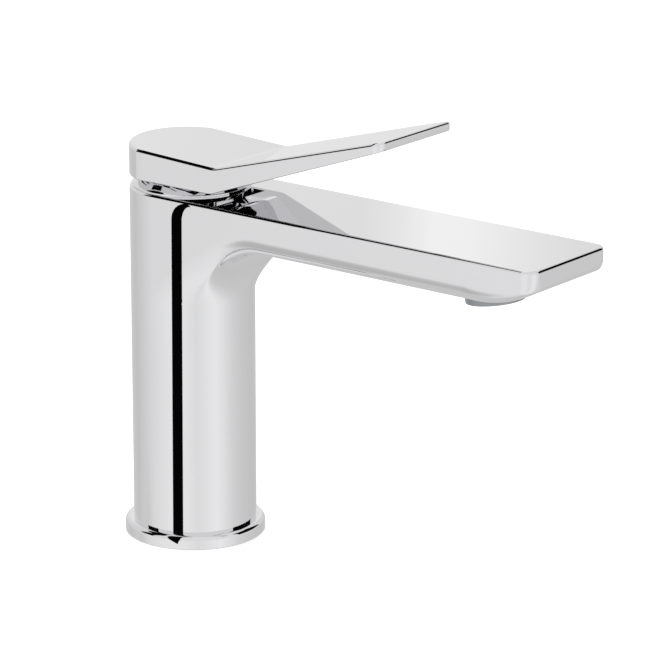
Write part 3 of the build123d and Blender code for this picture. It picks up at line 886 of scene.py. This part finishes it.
# --------------------------------------------------------------------------------- handle
@dataclass
class Handle:
    """Flat cap that runs on into the rising lever."""

    radius: float = 23.0
    half: float = 21.5
    low: float = 138.0
    high: float = 149.2
    dip: float = 2.4
    crease: float = 28.0
    crease_r: float = 14.0
    knee: float = 26.0
    knee_r: float = 8.0
    reach: float = 103.0
    rise: float = 15.7
    beyond: float = 3.0
    end: float = 3.4
    corner: float = 3.6
    edge: float = 1.1
    lean: float = 1.45
    under: float = 0.5
    wall: float = 2.4
    front_wall: float = 19.0
    ceiling: float = 145.6
    screw_r: float = 2.6
    screw_x: Flat = (-26.0, -19.0)
    screw_z: float = 142.6
    hub_r: Flat = (6.65, 9.0)
    hub_z: Flat = (140.0, 145.9)
    hub_edge: float = 0.3
    cap_stops: tuple[float, ...] = (-5.0, 0.0, 6.0, 12.0)
    knee_span: float = 2.0
    crease_span: float = 3.0
    lever_from: float = 34.0
    lever_step: float = 8.0
    arc: int = 36
    corner_steps: int = 12

    def top_z(self, x: float) -> float:
        """Height of the upper face at x."""
        crease_z = self.high - self.crease * math.tan(math.radians(self.dip))
        angles = (-math.radians(self.dip), math.radians(self.rise))
        return bent_line(x, (self.crease, crease_z), *angles, self.crease_r)

    def low_z(self, x: float) -> float:
        """Height of the lower face at x."""
        crease_z = self.high - self.crease * math.tan(math.radians(self.dip))
        end_x = self.reach + self.beyond
        tip = crease_z + (end_x - self.crease) * math.tan(math.radians(self.rise)) - self.end
        slope = math.atan((tip - self.low) / (end_x - self.knee))
        return bent_line(x, (self.knee, self.low), 0.0, slope, self.knee_r)

    def plan(self) -> list[tuple[float, float, float, float]]:
        """Outline on the +Y side from the back to the front, with normals."""
        first = math.asin(self.half / self.radius)
        points = []
        for i in range(self.arc + 1):
            turn = math.pi - first * i / self.arc
            n = (math.cos(turn), math.sin(turn))
            points.append((self.radius * n[0], self.radius * n[1], *n))
        points[0] = (-self.radius, 0.0, -1.0, 0.0)
        stops = [*self.cap_stops, self.front_wall]
        stops += [self.knee + self.knee_span * (i / 8 - 1) for i in range(9)]
        stops += [self.crease + self.crease_span * (i / 8 - 1) for i in range(17)]
        stops += [self.lever_from + self.lever_step * i for i in range(9)]
        for x in sorted(set(stops)):
            points.append((x, self.half, 0.0, 1.0))
        return points + front_corner(self.reach, self.half, self.corner, self.corner_steps)

    def outer(self, shell: Shell) -> None:
        """Adds the outer faces and the hollow of the cap.

        Args:
            shell: Mesh to add to.
        """
        plan = self.plan()
        loop = plan + [(x, -y, nx, -ny) for x, y, nx, ny in reversed(plan[1:])]
        rows = []
        for i in range(5):
            turn = math.pi / 2 * (1 - i / 4)
            inset = self.under * (1 - math.cos(turn))
            lift = self.under * (1 - math.sin(turn))
            flat = [(x - nx * inset, y - ny * inset) for x, y, nx, ny in loop]
            rows.append([(x, y, self.low_z(x) + lift) for x, y in flat])
        for i in range(9):
            turn = math.pi / 2 * i / 8
            inset = self.edge * (1 - math.cos(turn))
            drop = self.edge * (1 - math.sin(turn))
            flat = [(x - nx * inset * self.lean, y - ny * inset) for x, y, nx, ny in loop]
            rows.append([(x, y, self.top_z(x) - drop) for x, y in flat])
        rings = [shell.ring(row) for row in rows]
        for first, second in zip(rings, rings[1:]):
            shell.bridge(first, second)
        count = len(plan)
        top, bottom = rings[-1], rings[0]
        for i in range(count - 1):
            j = i + 1
            shell.face([top[i], top[j], top[-j]] + ([top[-i]] if i else []))
        split = next(i for i, p in enumerate(plan) if p[0] == self.front_wall)
        pocket, corner = self.pocket(shell)
        left, right = pocket[corner], pocket[-corner]
        shell.face(bottom[: split + 1] + [left] + list(reversed(pocket[:corner])))
        far = bottom[: -split - 1 : -1] + [right] + pocket[-corner + 1 :] + [pocket[0]]
        shell.face([bottom[0]] + far)
        ahead = [bottom[-split], bottom[-split - 1], bottom[split + 1]]
        shell.face([bottom[split], left, right] + ahead)
        for i in range(split + 1, count - 1):
            shell.face([bottom[i], bottom[i + 1], bottom[-i - 1], bottom[-i]])

    def pocket(self, shell: Shell) -> tuple[list[bmesh.types.BMVert], int]:
        """Adds the walls and the ceiling of the hollow.

        Args:
            shell: Mesh to add to.

        Returns:
            The mouth of the hollow and the index of its front corner.
        """
        radius, half = self.radius - self.wall, self.half - self.wall
        first = math.asin(half / radius)
        turns = [math.pi - first * i / 24 for i in range(25)]
        side = [(radius * math.cos(turn), radius * math.sin(turn)) for turn in turns]
        side[0] = (-radius, 0.0)
        side.append((self.front_wall, half))
        flat = side + [(x, -y) for x, y in reversed(side[1:])]
        mouth = shell.ring([(x, y, self.low) for x, y in flat])
        roof = shell.ring([(x, y, self.ceiling) for x, y in flat])
        shell.bridge(mouth, roof)
        shell.face(roof)
        return mouth, len(side) - 1

    def build(self, rack: FinishRack) -> None:
        """Builds the handle with its hub and mounts it.

        Args:
            rack: Finishes.
        """
        shell = Shell("lever_handle")
        self.outer(shell)
        obj = shell.build(rack["chrome_handle"])
        drill = Shell("plug_tool")
        drill.plug(self.screw_r, *self.screw_x, 48)
        turn = Matrix.Rotation(math.pi / 2, 4, "Y")
        place = Matrix.Translation((0, 0, self.screw_z * MM)) @ turn
        tool = drill.build(rack["chrome_handle"], place)
        cut(obj, tool)
        settle(obj, 24, tool)
        mount(obj, Body.LEVER, "chrome_handle", "handle")
        hub = Shell("handle_hub")
        (inner, outer), (low, high), edge = self.hub_r, self.hub_z, self.hub_edge
        profile = [(inner, low + edge), (inner, high), (outer, high), (outer, low + edge)]
        hub.lathe(profile + [(outer - edge, low), (inner + edge, low)], 96)
        hub_obj = hub.build(rack["chrome_handle"])
        settle(hub_obj, 35)
        mount(hub_obj, Body.LEVER, "chrome_handle")


# --------------------------------------------------------------------------------- aerator
def deliver(work: NodeWork, copies: bpy.types.Node, take: bpy.types.Node) -> None:
    """Makes copies real, gives them their finish and hands them out.

    Args:
        work: Hand of the tree.
        copies: Node that places the copies.
        take: Input node of the tree.
    """
    real = work.add("GeometryNodeRealizeInstances", {"Geometry": copies.outputs["Instances"]})
    feeds = {"Geometry": real.outputs["Geometry"], "Material": take.outputs["Finish"]}
    finish = work.add("GeometryNodeSetMaterial", feeds)
    work.add("NodeGroupOutput", {"Geometry": finish.outputs["Geometry"]})


def grid_group(name: str) -> bpy.types.NodeTree:
    """Geometry node tree: six-sided cells in a close-packed disc.

    Args:
        name: Name of the tree.

    Returns:
        The tree, with inputs for its sizes and finish.
    """
    tree = bpy.data.node_groups.new(name, "GeometryNodeTree")
    sizes = (
        ("Disc Radius", "Float", 0.008),
        ("Cell Pitch", "Float", 0.0016),
        ("Wall", "Float", 0.0003),
        ("Depth", "Float", 0.001),
        ("Finish", "Material", None),
    )
    doors(tree, sizes, (("Geometry", "Geometry"),))
    work = NodeWork(tree)
    take = work.add("NodeGroupInput")
    maths = work.maths
    rows = 15
    pitch = take.outputs["Cell Pitch"]
    step_y = maths("MULTIPLY", pitch, math.sqrt(3) / 2)
    grid = work.add(
        "GeometryNodeMeshGrid",
        {
            "Vertices X": rows,
            "Vertices Y": rows,
            "Size X": maths("MULTIPLY", pitch, rows - 1),
            "Size Y": maths("MULTIPLY", step_y, rows - 1),
        },
    )
    index = work.add("GeometryNodeInputIndex")
    place = work.add("GeometryNodeInputPosition")
    odd = maths("MODULO", index.outputs[0], 2)
    half = maths("MULTIPLY", maths("MULTIPLY", odd, 0.5), pitch)
    shift = work.add("ShaderNodeCombineXYZ", {"X": half})
    moved = work.add(
        "GeometryNodeSetPosition", {"Geometry": grid.outputs["Mesh"], "Offset": shift.outputs[0]}
    )
    length = work.add("ShaderNodeVectorMath", {0: place.outputs[0]}, operation="LENGTH")
    limit = maths("SUBTRACT", take.outputs["Disc Radius"], maths("MULTIPLY", pitch, 0.6))
    outside = work.add(
        "FunctionNodeCompare",
        {0: length.outputs["Value"], 1: limit},
        data_type="FLOAT",
        operation="GREATER_THAN",
    )
    trimmed = work.add(
        "GeometryNodeDeleteGeometry",
        {"Geometry": moved.outputs["Geometry"], "Selection": outside.outputs["Result"]},
        domain="POINT",
    )
    ring = work.add(
        "GeometryNodeCurvePrimitiveCircle",
        {"Resolution": 6, "Radius": maths("MULTIPLY", pitch, 0.5)},
    )
    bar = work.add(
        "GeometryNodeCurvePrimitiveQuadrilateral",
        {"Width": take.outputs["Wall"], "Height": take.outputs["Depth"]},
    )
    cell = work.add(
        "GeometryNodeCurveToMesh",
        {"Curve": ring.outputs["Curve"], "Profile Curve": bar.outputs["Curve"]},
    )
    copies = work.add(
        "GeometryNodeInstanceOnPoints",
        {"Points": trimmed.outputs["Geometry"], "Instance": cell.outputs["Mesh"]},
    )
    deliver(work, copies, take)
    return tree


def ribs_group(name: str) -> bpy.types.NodeTree:
    """Geometry node tree: equal ribs round a circle.

    Args:
        name: Name of the tree.

    Returns:
        The tree, with inputs for its count, sizes and finish.
    """
    tree = bpy.data.node_groups.new(name, "GeometryNodeTree")
    sizes = (
        ("Count", "Int", 24),
        ("Circle Radius", "Float", None),
        ("Rib Size", "Vector", None),
        ("Finish", "Material", None),
    )
    doors(tree, sizes, (("Geometry", "Geometry"),))
    work = NodeWork(tree)
    take = work.add("NodeGroupInput")
    circle = work.add(
        "GeometryNodeMeshCircle",
        {"Vertices": take.outputs["Count"], "Radius": take.outputs["Circle Radius"]},
    )
    rib = work.add("GeometryNodeMeshCube", {"Size": take.outputs["Rib Size"]})
    place = work.add("GeometryNodeInputPosition")
    aim = work.add("FunctionNodeAlignRotationToVector", {"Vector": place.outputs[0]}, axis="X")
    copies = work.add(
        "GeometryNodeInstanceOnPoints",
        {
            "Points": circle.outputs["Mesh"],
            "Instance": rib.outputs["Mesh"],
            "Rotation": aim.outputs["Rotation"],
        },
    )
    deliver(work, copies, take)
    return tree


def grow(
    name: str, tree: bpy.types.NodeTree, values: dict[str, object], place: Matrix
) -> bpy.types.Object:
    """Runs a geometry node tree once and keeps its result as a plain mesh.

    Args:
        name: Name of the piece.
        tree: The tree.
        values: Input names and values.
        place: Transform of the mesh itself.

    Returns:
        The piece, at the origin.
    """
    seed = bpy.data.objects.new(name, bpy.data.meshes.new(name + "_seed"))
    bpy.context.scene.collection.objects.link(seed)
    modifier = seed.modifiers.new("grow", "NODES")
    modifier.node_group = tree
    for item in tree.interface.items_tree:
        if item.in_out == "INPUT" and item.name in values:
            modifier[item.identifier] = values[item.name]
    graph = bpy.context.evaluated_depsgraph_get()
    mesh = bpy.data.meshes.new_from_object(seed.evaluated_get(graph))
    seed.modifiers.clear()
    seed.data = mesh
    mesh.transform(place)
    mesh.update()
    return seed


@dataclass
class Aerator:
    """Aerator in the underside of the spout: housing, grip ribs and honeycomb."""

    x: float = 137.0
    z: float = 118.0
    tilt: float = 8.0
    radius: float = 10.7
    wall: float = 1.5
    out: float = 4.2
    depth: float = 4.4
    lip: float = 1.0

    def place(self) -> Matrix:
        """Transform from the aerator's own axis to the mixer."""
        turn = Matrix.Rotation(-math.radians(self.tilt), 4, "Y")
        return Matrix.Translation((self.x * MM, 0, self.z * MM)) @ turn

    def build(self, rack: FinishRack) -> None:
        """Builds the aerator's visible pieces.

        Args:
            rack: Finishes.
        """
        inner = self.radius - self.wall
        low = -self.out
        shell = Shell("aerator_sleeve")
        mouth = inner - self.lip
        outside = [(self.radius, self.depth), (self.radius, low + 0.5)]
        edge = [(self.radius - 0.15, low + 0.15), (self.radius - 0.5, low)]
        edge += [(mouth + 0.25, low), (mouth, low + 0.25)]
        inside = [(mouth, low + self.lip), (inner, low + self.lip), (inner, self.depth)]
        shell.lathe(outside + edge + inside, 128)
        obj = shell.build(rack["aerator_metal"], self.place())
        settle(obj, 50)
        mount(obj, Body.FAUCET, "aerator_metal", "aerator_housing")
        ribs = grow(
            "aerator_grip",
            ribs_group("grip_ribs"),
            {
                "Count": 24,
                "Circle Radius": (mouth - 0.15) * MM,
                "Rib Size": (0.7 * MM, 0.9 * MM, 0.9 * MM),
                "Finish": rack["aerator_metal"],
            },
            self.place() @ Matrix.Translation((0, 0, (low + 0.6) * MM)),
        )
        mount(ribs, Body.FAUCET, "aerator_metal")
        comb = grow(
            "aerator_comb",
            grid_group("comb_cells"),
            {
                "Disc Radius": (mouth - 0.4) * MM,
                "Cell Pitch": 1.5 * MM,
                "Wall": 0.28 * MM,
                "Depth": 0.7 * MM,
                "Finish": rack["grey_plastic"],
            },
            self.place() @ Matrix.Translation((0, 0, (low + self.lip - 0.3) * MM)),
        )
        mount(comb, Body.FAUCET, "grey_plastic")


# ------------------------------------------------------------------------------ inner parts
@dataclass(frozen=True)
class InnerParts:
    """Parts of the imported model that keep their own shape."""

    def dress(self, frame: dict, rack: FinishRack) -> None:
        """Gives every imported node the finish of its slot.

        Args:
            rack: Finishes.
        """
        slots = {row["node"]: row["material_slot"] for row in frame["record"]["subparts"]}
        for node, obj in frame["nodes"].items():
            finish = rack[slots[node]]
            for slot in obj.material_slots:
                slot.material = finish
            LOG.info("%s: %s", node, finish.name)


# ---------------------------------------------------------------------------------- studio
def toward(heading: float, height: float) -> Point:
    """Unit vector in a direction given in degrees."""
    a, e = math.radians(heading), math.radians(height)
    return math.cos(a) * math.cos(e), math.sin(a) * math.cos(e), math.sin(e)


@dataclass
class Studio:
    """Pale floor, light tent with dark flags, and the camera."""

    azimuth: float = 38.13
    elevation: float = 16.68
    distance: float = 1441.7
    aim: Point = (0.0, 0.0, 80.0)
    over: float = -48.8045
    above: float = 0.61618
    lens: float = 215.1116
    sensor: float = 36.0
    tent_r: float = 1.0
    gain: float = 1.25
    turnover: Flat = (-5.0, 2.0)
    low_stops: tuple[Flat, ...] = (
        (-180, 0.60),
        (-155, 0.69),
        (-130, 0.78),
        (-98, 0.87),
        (-66, 0.87),
        (-45, 0.80),
        (-10, 0.91),
        (5, 0.84),
        (25, 0.72),
        (50, 0.645),
        (85, 0.595),
        (130, 0.60),
        (155, 0.635),
        (180, 0.60),
    )
    high_stops: tuple[Flat, ...] = (
        (-180, 0.71),
        (-140, 0.72),
        (-90, 0.78),
        (0, 0.79),
        (60, 0.73),
        (100, 0.71),
        (111, 0.72),
        (115.5, 0.80),
        (120.5, 0.995),
        (123.3, 0.80),
        (127, 0.81),
        (135, 0.86),
        (150, 0.78),
        (180, 0.71),
    )
    shade_at: Flat = (-148.0, -38.0)
    shade_size: Flat = (7.0, 23.0)
    shade_depth: float = 0.7
    side_y: float = -23.0
    strip_y: float = -24.9
    strip_x: Flat = (8.5, 13.4)
    strip_lean: float = 0.9
    strip_z: Flat = (6.0, 126.5)
    bend_out: Flat = (7.5, 6.85)
    bend_in: Flat = (4.2, 6.0)
    strip_rows: int = 90
    bend_rows: int = 14
    flag_share: float = 0.96
    flags: tuple[tuple[str, Flat, Flat], ...] = (
        ("high_flag", (139.0, 214.0), (48.0, 66.0)),
        ("low_flag", (211.0, 237.0), (9.0, 62.0)),
        ("end_flag", (24.0, 76.0), (7.0, 45.0)),
    )
    flag_light: Flat = (0.0, 0.003)
    panel_share: float = 0.95
    panel: tuple[Flat, Flat] = ((112.0, 138.0), (37.0, 48.0))
    panel_light: Flat = (1.15, 1.25)
    floor_half: float = 6.0
    floor_tones: Flat = (0.96, 0.99)
    floor_glow: float = 0.3
    sky: float = 1.03

    def camera(self) -> None:
        """Makes the camera at the chosen viewing angle."""
        az, el = math.radians(self.azimuth), math.radians(self.elevation)
        back = Vector((math.sin(az) * math.cos(el), -math.cos(az) * math.cos(el), math.sin(el)))
        right = Vector((math.cos(az), math.sin(az), 0))
        up = back.cross(right)
        place = Vector(self.aim) + back * self.distance - right * self.over - up * self.above
        data = bpy.data.cameras.new("camera")
        data.sensor_width = self.sensor
        data.lens = self.lens
        data.clip_start, data.clip_end = 0.05, 30.0
        obj = bpy.data.objects.new("camera", data)
        bpy.context.scene.collection.objects.link(obj)
        basis = Matrix((right, up, back)).transposed().to_4x4()
        obj.matrix_world = Matrix.Translation(place * MM) @ basis
        bpy.context.scene.camera = obj

    def show(self, obj: bpy.types.Object) -> None:
        """Links a studio object that only mirrors and never blocks light.

        Args:
            obj: Panel, flag or tent.
        """
        bpy.context.scene.collection.objects.link(obj)
        obj.visible_camera = False
        obj.visible_diffuse = False
        obj.visible_shadow = False
        obj.visible_transmission = False

    def cloth(self, name: str, light: Flat) -> bpy.types.Material:
        """Cloth of even brightness that drifts softly.

        Args:
            name: Name of the material.
            light: Lowest and highest brightness.

        Returns:
            The material.
        """
        made, work = bare_material(name)
        place = work.add("ShaderNodeTexCoord").outputs["Object"]
        noise = work.add("ShaderNodeTexNoise", {"Scale": 1.2, "Detail": 1.0, "Vector": place})
        ends = {"To Min": light[0], "To Max": light[1]}
        spread = work.add("ShaderNodeMapRange", {**ends, "Value": noise.outputs["Fac"]})
        lamp = work.add("ShaderNodeEmission", {"Strength": spread.outputs["Result"]})
        work.add("ShaderNodeOutputMaterial", {"Surface": lamp.outputs["Emission"]})
        return made

    def tent_cloth(self) -> bpy.types.Material:
        """Cloth of the tent, with a soft gradient round its lower part and one round its upper.

        Returns:
            The material.
        """
        made, work = bare_material("tent_cloth")
        place = work.add("ShaderNodeTexCoord").outputs["Object"]
        unit = work.add("ShaderNodeVectorMath", {0: place}, operation="NORMALIZE").outputs[0]
        parts = work.add("ShaderNodeSeparateXYZ", {0: unit}).outputs
        heading = work.maths("ARCTAN2", parts["Y"], parts["X"])
        share = work.maths("MULTIPLY_ADD", heading, 0.5 / math.pi, 0.5)
        ramps = []
        for stops in (self.low_stops, self.high_stops):
            ramp = work.add("ShaderNodeValToRGB", {"Fac": share})
            ramp.color_ramp.interpolation = "LINEAR"
            line = ramp.color_ramp.elements
            while len(line) < len(stops):
                line.new(0.5)
            for point, (angle, level) in zip(line, stops):
                point.position = (angle + 180) / 360
                point.color = (*[level / self.gain] * 3, 1.0)
            ramps.append(ramp.outputs["Color"])
        ends = [math.sin(math.radians(angle)) for angle in self.turnover]
        lift = work.add(
            "ShaderNodeMapRange",
            {"From Min": ends[0], "From Max": ends[1], "Value": parts["Z"]},
            interpolation_type="SMOOTHSTEP",
        )
        feeds = {"Factor": lift.outputs["Result"], 6: ramps[0], 7: ramps[1]}
        mix = work.add("ShaderNodeMix", feeds, data_type="RGBA")
        shade = toward(*self.shade_at)
        near = work.add("ShaderNodeVectorMath", {0: unit, 1: shade}, operation="DOT_PRODUCT")
        fade = work.add(
            "ShaderNodeMapRange",
            {
                "From Min": math.cos(math.radians(self.shade_size[1])),
                "From Max": math.cos(math.radians(self.shade_size[0])),
                "To Min": self.gain,
                "To Max": self.gain * self.shade_depth,
                "Value": near.outputs["Value"],
            },
            interpolation_type="SMOOTHSTEP",
        )
        feeds = {"Color": mix.outputs[2], "Strength": fade.outputs["Result"]}
        lamp = work.add("ShaderNodeEmission", feeds)
        work.add("ShaderNodeOutputMaterial", {"Surface": lamp.outputs["Emission"]})
        return made

    def patch(
        self,
        name: str,
        heading: Flat,
        height: Flat,
        radius: float,
        material: bpy.types.Material,
    ) -> None:
        """Curved panel of the tent.

        Args:
            name: Name of the panel.
            heading: First and last direction from +X, in degrees.
            height: Lowest and highest elevation, in degrees.
            radius: Distance from the column, in metres.
            material: Its cloth.
        """
        steps, rows = 48, 24
        bm = bmesh.new()
        grid = []
        for j in range(rows + 1):
            e = height[0] + (height[1] - height[0]) * j / rows
            turns = [heading[0] + (heading[1] - heading[0]) * i / steps for i in range(steps + 1)]
            grid.append([bm.verts.new([radius * c for c in toward(a, e)]) for a in turns])
        for lower, upper in zip(grid, grid[1:]):
            for i in range(steps):
                bm.faces.new([lower[i], lower[i + 1], upper[i + 1], upper[i]])
        bmesh.ops.remove_doubles(bm, verts=bm.verts, dist=1e-6)
        mesh = bpy.data.meshes.new(name)
        bm.to_mesh(mesh)
        bm.free()
        mesh.materials.append(material)
        self.show(bpy.data.objects.new(name, mesh))

    def strip(self, skin: bpy.types.Object, material: bpy.types.Material) -> None:
        """Hangs a narrow strip beside the column, cut so that it mirrors as a straight band.

        Args:
            skin: Piece that mirrors it.
            material: Its cloth.
        """
        mesh = skin.data
        mesh.calc_loop_triangles()
        faces = mesh.loop_triangles
        corners = [tuple(face.vertices) for face in faces]
        tree = BVHTree.FromPolygons([v.co for v in mesh.vertices], corners)
        eye = bpy.context.scene.camera.matrix_world.translation

        def mirrored(x: float, z: float) -> Vector | None:
            """Place on the strip's plane that the skin mirrors at a point of the side plane."""
            aim = (Vector((x, self.side_y, z)) * MM - eye).normalized()
            spot, _, index, _ = tree.ray_cast(eye, aim)
            if spot is None:
                return None
            corners = [mesh.vertices[i].co for i in faces[index].vertices]
            shares = poly_3d_calc(corners, spot)
            normal = Vector()
            for loop, weight in zip(faces[index].loops, shares):
                normal += mesh.corner_normals[loop].vector * weight
            ray = aim.reflect(normal.normalized())
            return spot + ray * ((self.strip_y * MM - spot.y) / ray.y)

        left, right = self.strip_x
        low, high = self.strip_z
        rows = []
        for i in range(self.strip_rows + 1):
            share = i / self.strip_rows
            z = low + (high - low) * share
            rows.append([(x + self.strip_lean * share, z) for x in (left, right)])
        sides = [(rows[-1][0][0], self.bend_out), (rows[-1][1][0], self.bend_in)]
        for i in range(1, self.bend_rows + 1):
            turn = math.pi / 2 * i / self.bend_rows
            over, up = 1 - math.cos(turn), math.sin(turn)
            rows.append([(x + bend[0] * over, high + bend[1] * up) for x, bend in sides])
        bm = bmesh.new()
        before = None
        for pair in rows:
            spots = [mirrored(*point) for point in pair]
            if None in spots:
                continue
            now = [bm.verts.new(spot) for spot in spots]
            if before:
                bm.faces.new([before[0], before[1], now[1], now[0]])
            before = now
        cut_out = bpy.data.meshes.new("strip_flag")
        bm.to_mesh(cut_out)
        bm.free()
        cut_out.materials.append(material)
        self.show(bpy.data.objects.new("strip_flag", cut_out))

    def tent(self, skin: bpy.types.Object) -> None:
        """Hangs the tent with its panels and flags round the mixer.

        Args:
            skin: Column and spout, which mirror the strip.
        """
        self.patch("tent", (-180.0, 180.0), (-90.0, 90.0), self.tent_r, self.tent_cloth())
        dark = self.cloth("flag_cloth", self.flag_light)
        for name, heading, height in self.flags:
            self.patch(name, heading, height, self.tent_r * self.flag_share, dark)
        bright = self.cloth("panel_cloth", self.panel_light)
        self.patch("edge_panel", *self.panel, self.tent_r * self.panel_share, bright)
        self.strip(skin, dark)

    def floor(self) -> None:
        """Lays the pale floor and sets the even light of the room."""
        mesh = bpy.data.meshes.new("floor")
        signs = ((-1, -1), (1, -1), (1, 1), (-1, 1))
        corners = [(x * self.floor_half, y * self.floor_half, 0) for x, y in signs]
        mesh.from_pydata(corners, [], [(0, 1, 2, 3)])
        made = bpy.data.materials.new("floor_paint")
        made.use_nodes = True
        work = NodeWork(made.node_tree)
        shader = made.node_tree.nodes["Principled BSDF"]
        place = work.add("ShaderNodeTexCoord").outputs["Object"]
        noise = work.add("ShaderNodeTexNoise", {"Scale": 3.0, "Vector": place})
        ramp = work.add("ShaderNodeValToRGB", {"Fac": noise.outputs["Fac"]})
        for point, tone in zip(ramp.color_ramp.elements, self.floor_tones):
            point.color = (tone, tone, tone, 1)
        work.feed(
            shader,
            {
                "Roughness": 0.9,
                "Specular IOR Level": 0.0,
                "Emission Color": (1.0, 1.0, 1.0, 1.0),
                "Emission Strength": self.floor_glow,
                "Base Color": ramp.outputs["Color"],
            },
        )
        mesh.materials.append(made)
        obj = bpy.data.objects.new("floor", mesh)
        bpy.context.scene.collection.objects.link(obj)
        obj.visible_glossy = False
        world = bpy.data.worlds.new("room")
        bpy.context.scene.world = world
        world.use_nodes = True
        sky = world.node_tree.nodes["Background"]
        sky.inputs["Color"].default_value = (1.0, 1.0, 1.0, 1)
        sky.inputs["Strength"].default_value = self.sky
        scene = bpy.context.scene
        scene.view_settings.view_transform = "Standard"
        scene.view_settings.look = "None"

    def build(self, skin: bpy.types.Object) -> None:
        """Builds the whole studio.

        Args:
            skin: Column and spout, which mirror the strip.
        """
        self.camera()
        self.floor()
        self.tent(skin)


def main() -> None:
    """Builds the mixer piece by piece, then the studio."""
    logging.basicConfig(level=logging.INFO, format="%(name)s: %(message)s")
    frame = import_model()
    rack = FinishRack()
    InnerParts().dress(frame, rack)
    aerator = Aerator()
    casting = SpoutBody().build(rack, aerator.place())
    Rings().build(rack)
    Handle().build(rack)
    aerator.build(rack)
    Studio().build(casting)
    bpy.context.view_layer.update()


if __name__ == "__main__":
    main()
